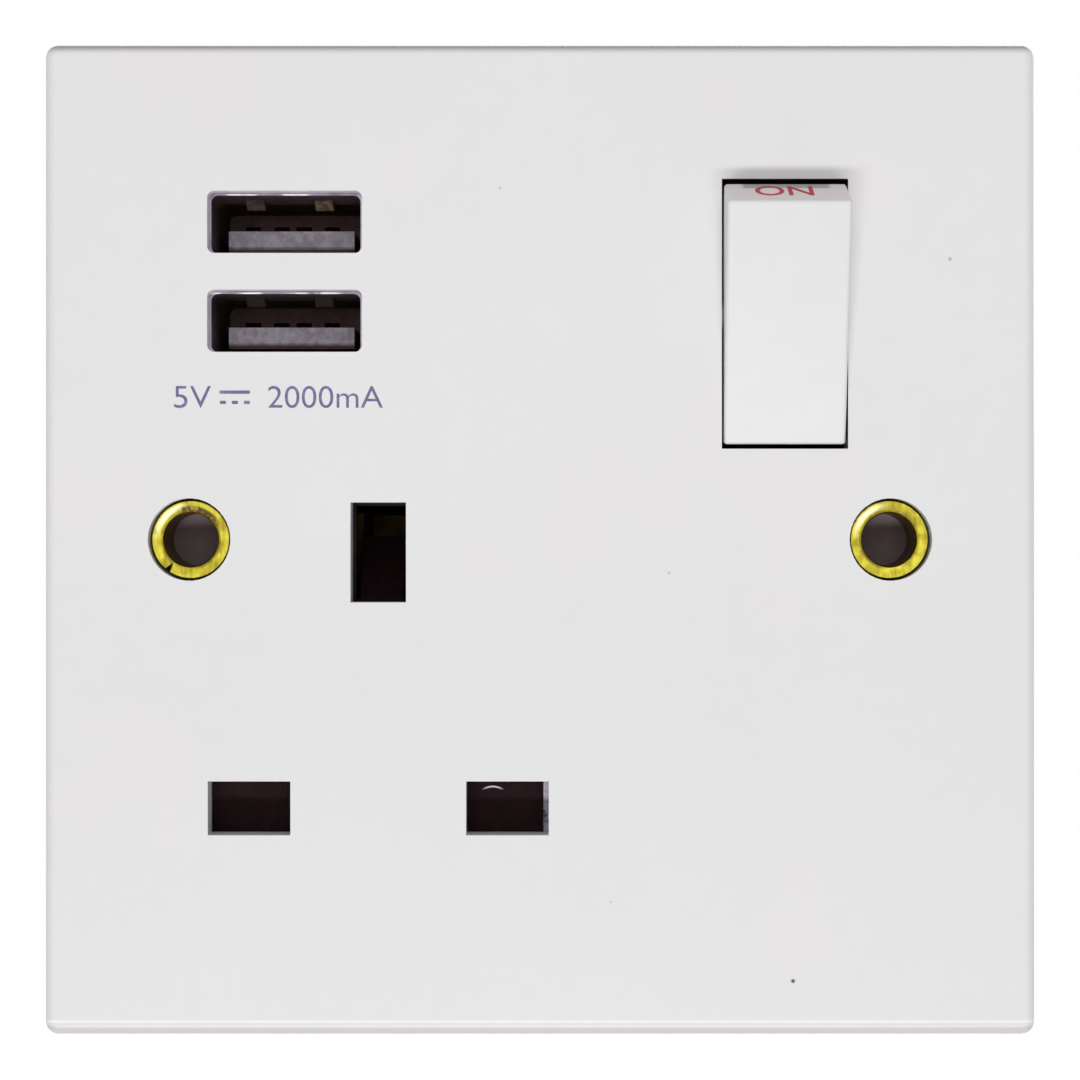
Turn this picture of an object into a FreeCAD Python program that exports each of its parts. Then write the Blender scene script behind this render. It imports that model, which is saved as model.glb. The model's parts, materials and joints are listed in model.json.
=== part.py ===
import FreeCAD, Part
import math
import os
import Sketcher

# A single switched wall socket for three square pins, with two USB charging ports.
# Millimetres. X runs right, Z up, and the front faces -Y. The wall plane is Y = 0,
# and the origin lies midway between the two fixing holes on it.

SIZES = [
    # Face plate
    ("plate_width", 86.0, "side of the square plate at the wall"),
    ("plate_depth", 8.5, "wall plane to front face"),
    ("plate_draft", 3.0, "draft of the plate's sides, degrees"),
    ("plate_wall", 2.8, "thickness behind the front face"),
    ("rim_wall", 2.2, "thickness of the plate's rim"),
    ("corner_radius", 1.5, "corners of the plate's outline"),
    ("edge_radius", 0.9, "rounding round the front face"),
    ("fixing_pitch", 60.3, "centre to centre of the two fixing holes"),
    ("fixing_hole", 7.1, "bore of the plate round an eyelet"),
    ("boss_wall", 1.3, "wall of the boss round an eyelet"),
    ("pillar_radius", 3.0, "pillars that take the housing screws"),
    ("rib_height", 2.0, "ribs behind the face"),
    ("rib_spread", 20.0, "each rib from the middle of the plate"),
    # Eyelets
    ("eyelet_recess", 1.0, "front face to eyelet flange"),
    ("eyelet_flange", 6.8, "outside of the eyelet's dished flange"),
    ("eyelet_bore", 4.6, "bore of an eyelet"),
    ("eyelet_wall", 0.4, "sheet that the eyelet is drawn from"),
    ("eyelet_dish", 0.45, "depth of the dish round the bore"),
    ("eyelet_lip", 0.7, "width of the rolled end behind the strap"),
    ("split_width", 0.9, "split in the left flange at its edge"),
    ("split_angle", 233.0, "where the split lies, degrees from +X"),
    # Pin slots
    ("pin_pitch", 22.2, "live slot to neutral slot"),
    ("earth_rise", 22.0, "earth slot above the other two"),
    ("socket_x", -13.9, "middle of the pin slots"),
    ("earth_z", -1.1, "height of the earth slot"),
    ("slot_width", 7.1, "live and neutral slots"),
    ("slot_height", 4.63, "live and neutral slots"),
    ("earth_width", 4.77, "earth slot"),
    ("earth_height", 8.6, "earth slot"),
    ("earth_reach", 14.3, "wall plane to the tip of a plug's earth pin"),
    # USB ports
    ("port_x", -21.95, "middle of the USB ports"),
    ("port_z", 23.05, "midway between the two ports"),
    ("port_pitch", 8.5, "upper port to lower port"),
    ("port_width", 13.3, "opening in the plate"),
    ("port_height", 5.35, "opening in the plate"),
    ("port_radius", 0.6, "corners of the opening"),
    ("port_skin", 1.2, "plate thickness over a receptacle"),
    ("shell_width", 12.9, "inside of a receptacle"),
    ("shell_height", 5.05, "inside of a receptacle"),
    ("shell_wall", 0.35, "sheet of a receptacle"),
    ("shell_drop", 0.1, "receptacle below its opening"),
    ("finger_width", 1.6, "spring fingers of a receptacle"),
    ("finger_spread", 3.0, "each finger from the middle"),
    ("finger_start", 2.8, "receptacle's front to its fingers"),
    ("finger_length", 4.4, "spring fingers"),
    ("finger_bow", 0.75, "how far a finger bows from the roof"),
    ("tongue_width", 11.1, "contact tongue"),
    ("tongue_thick", 1.85, "contact tongue"),
    ("tongue_floor", 0.72, "tongue above the shell's floor"),
    ("tongue_recess", 6.2, "front face to the end of the tongue"),
    ("tongue_length", 8.0, "tongue in front of its block"),
    ("tongue_chamfer", 0.45, "lower front edge of the tongue"),
    ("usb_contact_width", 1.3, "each of the four contacts"),
    ("usb_contact_inner", 1.0, "inner contacts from the middle"),
    ("usb_contact_outer", 3.5, "outer contacts from the middle"),
    ("usb_contact_thick", 0.2, "contact strip"),
    ("usb_contact_bow", 0.5, "how far a contact bows off its tongue"),
    ("usb_contact_start", 0.3, "end of the tongue to a contact's end"),
    ("block_depth", 2.2, "block that carries the tongue"),
    ("board_thick", 1.6, "charger board"),
    ("core_width", 13.0, "transformer's core"),
    ("core_height", 12.0, "transformer's core"),
    ("core_leg", 2.2, "outer legs of the core"),
    ("core_edge", 1.0, "board's lower edge to the core"),
    ("fuse_length", 7.0, "charger's fuse"),
    ("fuse_radius", 1.3, "charger's fuse"),
    # Rear housing
    ("housing_front", 2.4, "wall plane forward to the housing's rim"),
    ("housing_depth", 22.0, "wall plane back to the housing's rear face"),
    ("housing_wall", 1.5, "walls and floor of the housing"),
    ("housing_width", 66.0, "outside of the housing"),
    ("waist_width", 48.6, "between the box lugs"),
    ("waist_height", 18.0, "height of the recess for the box lugs"),
    ("housing_chamfer", 4.0, "lower corners of the housing"),
    ("rib_wall", 1.2, "partitions in the housing"),
    ("vent_width", 1.4, "vents behind the charger"),
    ("vent_pitch", 3.2, "vent to vent"),
    ("wire_hole", 5.0, "wire entries in the lower wall"),
    ("screw_radius", 1.3, "housing screws"),
    ("screw_head", 2.5, "radius of a housing screw's head"),
    ("screw_head_depth", 1.8, "height of a screw's head"),
    ("screw_seat", 3.0, "wall plane back to the housing screws' seats"),
    ("clearance", 0.05, "running and seating clearance"),
    # Shutter
    ("shutter_recess", 4.3, "front face to shutter"),
    ("shutter_thick", 1.8, "plate of the shutter"),
    ("shutter_stroke", 5.5, "travel of the shutter"),
    ("shutter_overlap", 1.2, "shutter beyond each slot"),
    ("stem_width", 6.4, "stem of the shutter"),
    ("ramp_width", 3.7, "ramp behind the earth slot"),
    ("guide_thick", 1.4, "guide plate under the shutter"),
    ("spring_radius", 0.95, "middle of the shutter spring's wire"),
    ("wire_size", 0.4, "spring wire"),
    ("rocker_spring_turns", 3, "turns of the rocker's spring"),
    ("shutter_spring_turns", 4, "turns of the shutter's spring"),
    # Contacts
    ("sheet_metal", 0.8, "brass strips and clips"),
    ("clip_gap", 3.9, "between the leaves of the two flat clips"),
    ("terminal_size", 8.0, "side of a terminal block"),
    ("terminal_front", 10.6, "wall plane to the front of a terminal"),
    ("terminal_bore", 4.2, "wire bore of a terminal"),
    ("terminal_screw", 1.9, "radius of a terminal screw"),
    ("strip_width", 3.4, "brass strips"),
    ("live_terminal_x", 20.0, "live terminal"),
    ("live_terminal_z", -18.0, "live terminal"),
    ("earth_terminal_x", 7.0, "earth terminal"),
    ("strap_rise", 4.6, "earth strap's lower edge over the fixing holes"),
    ("strap_width", 2.8, "earth strap"),
    ("strap_ring", 1.6, "earth strap round an eyelet"),
    # Rocker
    ("rocker_x", 21.05, "middle of the rocker"),
    ("rocker_z", 19.4, "height of the pivot"),
    ("aperture_width", 10.85, "opening for the rocker"),
    ("aperture_height", 23.2, "opening for the rocker"),
    ("rocker_width", 10.5, "rocker"),
    ("rocker_length", 20.9, "front face of the rocker"),
    ("rocker_rise", 4.45, "front face of the rocker from its pivot"),
    ("rocker_end", 4.75, "depth of the rocker's ends"),
    ("rocker_flare", 10.9, "lean of the rocker's ends, degrees"),
    ("rocker_wall", 1.4, "wall of the rocker"),
    ("rocker_edge", 0.3, "rounding round the rocker's face"),
    ("rocker_tilt", 13.6, "tilt each way from level, degrees"),
    ("pivot_recess", 2.15, "front face to pivot"),
    ("trunnion_radius", 1.2, "rocker's pivot pins"),
    ("trunnion_length", 1.7, "each pivot pin"),
    ("plunger_radius", 1.2, "plunger"),
    ("plunger_reach", 8.7, "pivot to the tip of the plunger"),
    ("plunger_head", 2.9, "length of the plunger in front of its collar"),
    ("plunger_tube", 5.4, "pivot to the end of the plunger's tube"),
    ("plunger_tube_wall", 1.0, "wall of the plunger's tube"),
    ("contact_fold", 12.0, "fold of the moving contact, degrees each arm"),
    ("contact_front", 2.65, "wall plane to the moving contact's bend"),
    ("contact_width", 5.0, "moving contact"),
    ("contact_arm", 8.8, "each arm of the moving contact"),
    ("lug_radius", 0.6, "lugs that the moving contact turns on"),
    ("tip_place", 7.0, "contact tips from the bend"),
    ("tip_radius", 1.7, "contact tips"),
    ("tip_thick", 0.8, "contact tips"),
]

doc = FreeCAD.newDocument("usb_wall_socket")
sheet = doc.addObject("Spreadsheet::Sheet", "Sizes")


class Size:
    """A length: its value now, and the formula on the sheet that it follows."""

    def __init__(self, formula, value):
        self.formula = formula
        self.value = value

    def __add__(self, other):
        return joined(self, "+", other, self.value + size(other).value)

    def __radd__(self, other):
        return size(other) + self

    def __sub__(self, other):
        return joined(self, "-", other, self.value - size(other).value)

    def __rsub__(self, other):
        return size(other) - self

    def __mul__(self, other):
        return joined(self, "*", other, self.value * size(other).value)

    def __rmul__(self, other):
        return size(other) * self

    def __truediv__(self, other):
        return joined(self, "/", other, self.value / size(other).value)

    def __neg__(self):
        return 0 - self


def size(value):
    return value if isinstance(value, Size) else Size("(%r)" % value, value)


def joined(first, sign, second, value):
    return Size("(%s %s %s)" % (first.formula, sign, size(second).formula), value)


def sine(angle):
    return Size("sin(%s)" % angle.formula, math.sin(math.radians(angle.value)))


def cosine(angle):
    return Size("cos(%s)" % angle.formula, math.cos(math.radians(angle.value)))


class Driving:
    """The sheet's cells by name, such as d.plate_width."""


d = Driving()
for row, (alias, value, note) in enumerate(SIZES, 1):
    sheet.set("A%d" % row, alias)
    sheet.set("B%d" % row, str(value))
    sheet.set("C%d" % row, note)
    sheet.setAlias("B%d" % row, alias)
    setattr(d, alias, Size("Sizes." + alias, value))
doc.recompute()


# Helpers: sketches on a body's own planes, and what is raised or cut from them

def bind(thing, name, value):
    value = size(value)
    thing.setExpression(name, value.formula)


def body(label):
    made = doc.addObject("PartDesign::Body", label)
    made.Label = label
    return made


def vector(point):
    return FreeCAD.Vector(size(point[0]).value, size(point[1]).value, 0)


def constrain(sketch, kind, *rest):
    """Adds a constraint whose last value is a Size, and ties it to the sheet."""
    value = size(rest[-1])
    place = sketch.addConstraint(Sketcher.Constraint(kind, *rest[:-1], value.value))
    sketch.setExpression("Constraints[%d]" % place, value.formula)


def draw_corners(sketch, corners):
    first = sketch.GeometryCount
    count = len(corners)
    for i in range(count):
        start, end = vector(corners[i]), vector(corners[(i + 1) % count])
        sketch.addGeometry(Part.LineSegment(start, end))
    for i in range(count):
        after = first + (i + 1) % count
        sketch.addConstraint(Sketcher.Constraint("Coincident", first + i, 2, after, 1))
    for i, (across, up) in enumerate(corners):
        constrain(sketch, "DistanceX", -1, 1, first + i, 1, across)
        constrain(sketch, "DistanceY", -1, 1, first + i, 1, up)


def draw_circle(sketch, across, up, radius):
    place = sketch.addGeometry(
        Part.Circle(vector((across, up)), FreeCAD.Vector(0, 0, 1), size(radius).value)
    )
    constrain(sketch, "DistanceX", -1, 1, place, 3, across)
    constrain(sketch, "DistanceY", -1, 1, place, 3, up)
    constrain(sketch, "Radius", place, radius)


def draw_rounded(sketch, left, low, right, high, radius):
    """A rectangle with round corners: four lines and four tangent arcs."""
    first = sketch.GeometryCount
    x0, y0, x1, y1, r = [size(v).value for v in (left, low, right, high, radius)]
    axis = FreeCAD.Vector(0, 0, 1)
    quarter = math.pi / 2
    ends = [
        ((x0 + r, y0), (x1 - r, y0), (x1 - r, y0 + r), -quarter),
        ((x1, y0 + r), (x1, y1 - r), (x1 - r, y1 - r), 0),
        ((x1 - r, y1), (x0 + r, y1), (x0 + r, y1 - r), quarter),
        ((x0, y1 - r), (x0, y0 + r), (x0 + r, y0 + r), 2 * quarter),
    ]
    for start, end, middle, turn in ends:
        sketch.addGeometry(Part.LineSegment(vector(start), vector(end)))
        circle = Part.Circle(vector(middle), axis, r)
        sketch.addGeometry(Part.ArcOfCircle(circle, turn, turn + quarter))
    for i in range(8):
        after = first + (i + 1) % 8
        sketch.addConstraint(Sketcher.Constraint("Tangent", first + i, 2, after, 1))
    for i, kind in enumerate(("Horizontal", "Vertical", "Horizontal", "Vertical")):
        sketch.addConstraint(Sketcher.Constraint(kind, first + 2 * i))
        constrain(sketch, "Radius", first + 2 * i + 1, radius)
    constrain(sketch, "DistanceY", -1, 1, first, 1, low)
    constrain(sketch, "DistanceX", -1, 1, first + 2, 1, right)
    constrain(sketch, "DistanceY", -1, 1, first + 4, 1, high)
    constrain(sketch, "DistanceX", -1, 1, first + 6, 1, left)


def box(left, low, right, high):
    return [(left, low), (right, low), (right, high), (left, high)]


def circle(across, up, radius):
    return ("circle", across, up, radius)


def rounded(left, low, right, high, radius):
    return ("rounded", left, low, right, high, radius)


def drawing(owner, plane, start, loops):
    """A sketch on one of the body's planes, moved to start along the plane's axis.

    On the XZ plane a drawing is seen from the front, and start is its Y."""
    sketch = owner.newObject("Sketcher::SketchObject", "Sketch")
    sketch.AttachmentSupport = [
        (f, "") for f in owner.Origin.OriginFeatures if f.Role == plane
    ]
    sketch.MapMode = "FlatFace"
    start = size(start)
    bind(sketch, "AttachmentOffset.Base.z", -start if plane == "XZ_Plane" else start)
    for loop in loops:
        if loop[0] == "circle":
            draw_circle(sketch, *loop[1:])
        elif loop[0] == "rounded":
            draw_rounded(sketch, *loop[1:])
        else:
            draw_corners(sketch, loop)
    return sketch


def raise_from(owner, plane, start, end, *loops):
    """Adds material between start and end, which is larger than start."""
    pad = owner.newObject("PartDesign::Pad", "Pad")
    pad.Profile = drawing(owner, plane, start, loops)
    pad.Reversed = plane == "XZ_Plane"
    bind(pad, "Length", size(end) - start)
    return pad


def cut_from(owner, plane, start, end, *loops):
    """Takes material away between start and end."""
    pocket = owner.newObject("PartDesign::Pocket", "Pocket")
    pocket.Profile = drawing(owner, plane, start, loops)
    pocket.Reversed = plane != "XZ_Plane"
    bind(pocket, "Length", size(end) - start)


def turn(owner, loops):
    """Turns a profile, drawn from the front, about the body's own Z."""
    feature = owner.newObject("PartDesign::Revolution", "Turned")
    sketch = drawing(owner, "XZ_Plane", 0, loops)
    feature.Profile = sketch
    feature.ReferenceAxis = (sketch, ["V_Axis"])
    feature.Angle = 360


def front(label, start, end, *loops):
    """A body that is one plate or bar, drawn from the front."""
    made = body(label)
    raise_from(made, "XZ_Plane", start, end, *loops)
    return made


def place(made, x, y, z):
    for axis, value in zip("xyz", (x, y, z)):
        bind(made, "Placement.Base." + axis, value)


def tilt(made, angle):
    """Turns a body about X: the top comes forward for a positive angle."""
    made.Placement.Rotation = FreeCAD.Rotation(FreeCAD.Vector(1, 0, 0), size(angle).value)
    bind(made, "Placement.Rotation.Angle", angle)


# Places that several pieces share

plate_front = -d.plate_depth
plate_back = plate_front + d.plate_wall
rim_plane = -d.housing_front
strap_front = rim_plane - d.sheet_metal
fixing_x = d.fixing_pitch / 2
pins_z = d.earth_z - d.earth_rise
live_x = d.socket_x + d.pin_pitch / 2
neutral_x = d.socket_x - d.pin_pitch / 2
floor_inside = d.housing_depth - d.housing_wall
shell_front = plate_front + d.port_skin
tongue_front = plate_front + d.tongue_recess
block_front = tongue_front + d.tongue_length
board_front = block_front + d.block_depth
board_back = board_front + d.board_thick
pivot_y = plate_front + d.pivot_recess
shutter_front = plate_front + d.shutter_recess
shutter_back = shutter_front + d.shutter_thick
guide_front = shutter_back + d.clearance
guide_back = guide_front + d.guide_thick
shelf_z = d.waist_height / 2
shelf_top = shelf_z + d.rib_wall
inner_half = d.housing_width / 2 - d.housing_wall
inner_waist = d.waist_width / 2 - d.housing_wall
switch_wall = d.rocker_x - d.aperture_width
board_left = -inner_half + d.clearance * 6
board_right = switch_wall - d.rib_wall - d.clearance * 6
board_low = shelf_top + d.clearance * 6
board_high = inner_half - d.clearance * 6
earth_terminal_z = d.strap_rise - d.terminal_size / 2
post_gap = d.rocker_width / 2 + d.clearance * 3
lug_y = d.contact_front + d.sheet_metal / 2

# Pillars of the plate and columns of the housing stand at the same four places
column_radius = d.screw_head + 0.65
PILLARS = [
    (d.port_x + 12.2, d.housing_width / 2 - d.pillar_radius - 0.5),
    (d.housing_width / 2 - d.pillar_radius - 0.1, shelf_z + d.pillar_radius + 0.6),
    (-d.housing_width / 2 + d.pillar_radius + 0.8, -shelf_z - d.pillar_radius - 1.0),
    (d.housing_width / 2 - d.housing_chamfer - 0.5,
     -d.housing_width / 2 + d.housing_chamfer + 0.5),
]
PORTS = [
    ("upper", d.port_z + d.port_pitch / 2),
    ("lower", d.port_z - d.port_pitch / 2),
]


def port_box(middle, width, height, drop=0, radius=None):
    low = middle - height / 2 - drop
    high = middle + height / 2 - drop
    left, right = d.port_x - width / 2, d.port_x + width / 2
    return rounded(left, low, right, high, radius) if radius else box(left, low, right, high)


# Face plate: a drafted square tray with every opening, bosses and screw pillars

def face_plate():
    plate = body("face_plate")
    half = d.plate_width / 2
    outline = rounded(-half, -half, half, half, d.corner_radius)
    pad = plate.newObject("PartDesign::Pad", "Outline")
    pad.Profile = drawing(plate, "XZ_Plane", 0, [outline])
    bind(pad, "Length", d.plate_depth)
    bind(pad, "TaperAngle", -d.plate_draft)
    doc.recompute()
    reach = d.plate_depth.value - 0.01
    edges = [
        "Edge%d" % (i + 1)
        for i, edge in enumerate(pad.Shape.Edges)
        if edge.BoundBox.YMax < -reach
    ]
    rounding = plate.newObject("PartDesign::Fillet", "FrontRounding")
    rounding.Base = (pad, edges)
    bind(rounding, "Radius", d.edge_radius)

    inside = half - d.rim_wall
    cut_from(plate, "XZ_Plane", plate_back, 0, box(-inside, -inside, inside, inside))
    boss = d.fixing_hole / 2 + d.boss_wall
    raise_from(plate, "XZ_Plane", plate_back, strap_front,
               circle(-fixing_x, 0, boss), circle(fixing_x, 0, boss))
    raise_from(plate, "XZ_Plane", plate_back, rim_plane,
               *[circle(x, z, d.pillar_radius) for x, z in PILLARS])
    cut_from(plate, "XZ_Plane", plate_back - 1.0, rim_plane,
             *[circle(x, z, d.screw_radius + d.clearance) for x, z in PILLARS])

    cut_from(plate, "XZ_Plane", plate_front, strap_front,
             circle(-fixing_x, 0, d.fixing_hole / 2), circle(fixing_x, 0, d.fixing_hole / 2))
    wide, tall = d.slot_width / 2, d.slot_height / 2
    cut_from(plate, "XZ_Plane", plate_front, plate_back,
             box(live_x - wide, pins_z - tall, live_x + wide, pins_z + tall),
             box(neutral_x - wide, pins_z - tall, neutral_x + wide, pins_z + tall),
             box(d.socket_x - d.earth_width / 2, d.earth_z - d.earth_height / 2,
                 d.socket_x + d.earth_width / 2, d.earth_z + d.earth_height / 2))
    cut_from(plate, "XZ_Plane", plate_front, plate_back,
             *[port_box(z, d.port_width, d.port_height, 0, d.port_radius) for _, z in PORTS])
    outer = d.shell_wall * 2 + d.clearance * 2
    cut_from(plate, "XZ_Plane", shell_front, plate_back,
             *[port_box(z, d.shell_width + outer, d.shell_height + outer, d.shell_drop)
               for _, z in PORTS])
    across, up = d.aperture_width / 2, d.aperture_height / 2
    cut_from(plate, "XZ_Plane", plate_front, plate_back,
             box(d.rocker_x - across, d.rocker_z - up, d.rocker_x + across, d.rocker_z + up))
    # The pivot pins drop into round-ended slots from behind, under a skin of the face
    reach = d.rocker_width / 2 + d.trunnion_length + d.clearance * 2
    hold = d.trunnion_radius + d.clearance
    top = plate_back + 1.0
    cut_from(plate, "YZ_Plane", d.rocker_x - reach, d.rocker_x + reach,
             circle(pivot_y, d.rocker_z, hold))
    cut_from(plate, "YZ_Plane", d.rocker_x - reach, d.rocker_x + reach,
             box(pivot_y, d.rocker_z - hold, top, d.rocker_z + hold))
    # Ribs stiffen the face between the rim and the housing
    rib = d.rib_wall / 2
    for side in (-1, 1):
        near = d.housing_width / 2 + 1.0
        start, end = (-inside, -near) if side < 0 else (near, inside)
        for z in (-d.rib_spread, d.rib_spread):
            raise_from(plate, "XZ_Plane", plate_back, plate_back + d.rib_height,
                       box(start, z - rib, end, z + rib))


# Eyelets: drawn brass with a dished flange in front and a rolled end behind

def fixing_eyelet(label, side):
    eyelet = body(label)
    bore, flange = d.eyelet_bore / 2, d.eyelet_flange / 2
    seat = plate_front + d.eyelet_recess
    dish = d.eyelet_dish
    lip = bore + d.eyelet_wall + d.eyelet_lip
    # Drawn across and along the eyelet's own axis, with the front at the top
    inner = [(bore, seat + dish), (bore + dish * 0.3, seat + dish * 0.35),
             (bore + dish * 0.7, seat + dish * 0.05), (flange - 0.1, seat)]
    outer = [(flange, seat + d.eyelet_wall),
             (bore + d.eyelet_wall + dish, seat + d.eyelet_wall),
             (bore + d.eyelet_wall, seat + d.eyelet_wall + dish)]
    back = rim_plane + d.clearance
    rear = [(bore + d.eyelet_wall, back), (lip, back), (lip, back + d.eyelet_wall),
            (bore, back + d.eyelet_wall)]
    profile = [(across, size(0) - along) for across, along in inner + outer + rear]
    turn(eyelet, [profile])
    if side < 0:
        # The flange split open when it was rolled: a wedge, widest at its edge
        reach, half = flange + 0.5, d.split_width / 2
        wedge = [(bore + 0.15, size(0)), (reach, -half), (reach, half)]
        turned = d.split_angle
        split = [
            (cosine(turned) * x - sine(turned) * y, sine(turned) * x + cosine(turned) * y)
            for x, y in wedge
        ]
        cut_from(eyelet, "XY_Plane", -(seat + dish + d.eyelet_wall), -seat + 0.2, split)
    eyelet.Placement.Rotation = FreeCAD.Rotation(FreeCAD.Vector(1, 0, 0), 90)
    place(eyelet, fixing_x * side, 0, 0)


# Rear housing: a tray that clears the box lugs, with partitions, columns and posts

def rear_housing():
    housing = body("rear_housing")

    def outline(half, waist, low, high, chamfer):
        return [(-half + chamfer, -half), (half - chamfer, -half), (half, -half + chamfer),
                (half, low), (waist, low), (waist, high), (half, high), (half, half),
                (-half, half), (-half, high), (-waist, high), (-waist, low),
                (-half, low), (-half, -half + chamfer)]

    half, waist = d.housing_width / 2, d.waist_width / 2
    wall = d.housing_wall
    raise_from(housing, "XZ_Plane", rim_plane, d.housing_depth,
               outline(half, waist, -shelf_z, shelf_z, d.housing_chamfer))
    cut_from(housing, "XZ_Plane", rim_plane, floor_inside,
             outline(inner_half, inner_waist, -shelf_z - wall, shelf_z + wall,
                     d.housing_chamfer - wall * 0.4))
    # Partitions part the switch and the charger from the pin contacts
    right = d.housing_width / 2 - wall / 2
    left = -right
    raise_from(housing, "XZ_Plane", guide_back, floor_inside,
               box(left, shelf_z, right, shelf_top))
    raise_from(housing, "XZ_Plane", rim_plane, floor_inside,
               box(switch_wall - d.rib_wall, shelf_z, switch_wall, half - wall / 2))
    raise_from(housing, "XZ_Plane", rim_plane, floor_inside,
               *[circle(x, z, column_radius) for x, z in PILLARS])
    # Posts hold the rocker's pivot pins in their slots
    reach = d.rocker_width / 2 + d.trunnion_length
    grip = pivot_y + d.trunnion_radius + d.clearance
    for side in (-1, 1):
        near, far = d.rocker_x + post_gap * side, d.rocker_x + reach * side
        start, end = (far, near) if side < 0 else (near, far)
        raise_from(housing, "XZ_Plane", grip, floor_inside,
                   box(start, d.rocker_z - 1.6, end, d.rocker_z + 1.6))
    # Ledge for the shutter's guide plate, and pads for the charger's board
    raise_from(housing, "XZ_Plane", guide_back, floor_inside,
               box(-inner_half, pins_z - 4.0, -inner_half + 1.6, pins_z + 5.0),
               box(live_x + 5.6, -inner_half, live_x + 6.8, pins_z - d.strip_width))
    raise_from(housing, "XZ_Plane", board_back, floor_inside,
               box(board_left, board_low, board_left + 2.4, board_low + 2.4),
               box(board_right - 2.4, board_high - 2.4, board_right, board_high))
    for x, z in PILLARS:
        cut_from(housing, "XZ_Plane", rim_plane, d.housing_depth,
                 circle(x, z, d.screw_radius + d.clearance))
        cut_from(housing, "XZ_Plane", d.screw_seat, d.housing_depth,
                 circle(x, z, d.screw_head + d.clearance))
    return housing


def finish_housing(housing):
    """Openings in the housing's walls: wires, screws, straps, strips and vents."""
    half = d.housing_width / 2
    middle = (d.terminal_front + floor_inside) / 2
    # Wire entries through the lower wall, and screwdriver holes through the floor
    cut_from(housing, "XY_Plane", -half, -half + d.housing_wall,
             *[circle(x, middle, d.wire_hole / 2) for x, _ in TERMINALS.values()])
    cut_from(housing, "XZ_Plane", floor_inside, d.housing_depth,
             *[circle(x, z, d.wire_hole / 2) for x, z in TERMINALS.values()])
    # Notches where strips of brass pass through the partitions
    slack = d.clearance
    strip = d.strip_width / 2 + slack
    common_back = d.terminal_front
    cut_from(housing, "XZ_Plane", guide_back, common_back + slack,
             box(d.live_terminal_x - strip, shelf_z - 0.2,
                 d.live_terminal_x + strip, shelf_top + 0.2))
    cut_from(housing, "XZ_Plane", guide_back, live_strip_back + slack,
             box(live_run_x - strip, shelf_z - 0.2, live_run_x + strip, shelf_top + 0.2))
    cut_from(housing, "XZ_Plane", guide_back, board_front + slack,
             box(neutral_run_x - strip, shelf_z - 0.2, neutral_run_x + strip, shelf_top + 0.2))
    cut_from(housing, "XZ_Plane", rim_plane, board_front + slack,
             box(switch_wall - d.rib_wall - 0.2, tab_z - strip,
                 switch_wall + 0.2, tab_z + strip))
    # Vents behind the charger
    low, high = board_low + 3.0, board_high - 3.0
    first = d.port_x - d.vent_pitch * 1.5
    cut_from(housing, "XZ_Plane", floor_inside, d.housing_depth,
             *[box(first + d.vent_pitch * i, low, first + d.vent_pitch * i + d.vent_width, high)
               for i in range(4)])


# Brass runs: where each strip lies

live_strip_front = d.contact_front + d.sheet_metal + d.tip_thick * 2 + d.clearance
live_strip_back = live_strip_front + d.sheet_metal
live_run_x = switch_wall + d.strip_width / 2 + 0.3
neutral_run_x = neutral_x + d.clip_gap / 2 + 3.1
tab_z = board_low + 5.0

TERMINALS = {
    "neutral": (neutral_x, pins_z + 0.6),
    "earth": (d.earth_terminal_x, earth_terminal_z),
    "live": (d.live_terminal_x, d.live_terminal_z),
}


def housing_screw(label, x, z):
    screw = body(label)
    tip = plate_back - 1.0 + (d.plate_wall - 1.0) * 0.2
    raise_from(screw, "XZ_Plane", tip, d.screw_seat, circle(0, 0, d.screw_radius))
    raise_from(screw, "XZ_Plane", d.screw_seat, d.screw_seat + d.screw_head_depth,
               circle(0, 0, d.screw_head))
    slot = d.screw_head * 0.16
    end = d.screw_seat + d.screw_head_depth
    for tall, wide in ((d.screw_head * 0.7, slot), (slot, d.screw_head * 0.7)):
        cut_from(screw, "XZ_Plane", end - d.screw_head_depth * 0.6, end,
                 box(-wide, -tall, wide, tall))
    place(screw, x, 0, z)


def pin_clip(label, x, z, back, across, tall, spread):
    """Two spring leaves with flared mouths, joined at the back."""
    clip = body(label)
    sheet_t, gap = d.sheet_metal, across / 2
    mouth = guide_back + 0.4
    flare = mouth + 1.6
    for side in (-1, 1):
        inner, outer, wide = gap * side, (gap + sheet_t) * side, (gap + spread) * side
        edge = (gap + spread + sheet_t) * side
        leaf = [(inner, back), (inner, flare), (wide, mouth), (edge, mouth),
                (outer, flare), (outer, back)]
        leaf = leaf if side > 0 else leaf[::-1]
        raise_from(clip, "XY_Plane", -tall / 2, tall / 2, leaf)
    web = gap + sheet_t
    raise_from(clip, "XY_Plane", -tall / 2, tall / 2,
               box(-web, back - sheet_t, web, back))
    place(clip, x, 0, z)


def terminal(label, x, z):
    block = body(label + "_terminal")
    half = d.terminal_size / 2
    raise_from(block, "XZ_Plane", d.terminal_front, floor_inside, box(-half, -half, half, half))
    middle = (d.terminal_front + floor_inside) / 2
    cut_from(block, "XY_Plane", -half, half, circle(0, middle, d.terminal_bore / 2))
    cut_from(block, "XZ_Plane", middle, floor_inside,
             circle(0, 0, d.terminal_screw + d.clearance))
    place(block, x, 0, z)

    screw = body(label + "_terminal_screw")
    start, end = middle + d.terminal_bore / 2 - 0.5, floor_inside - 0.4
    raise_from(screw, "XZ_Plane", start, end, circle(0, 0, d.terminal_screw))
    slot = d.terminal_screw * 0.2
    cut_from(screw, "XZ_Plane", end - 0.9, end,
             box(-d.terminal_screw, -slot, d.terminal_screw, slot))
    place(screw, x, 0, z)


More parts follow.
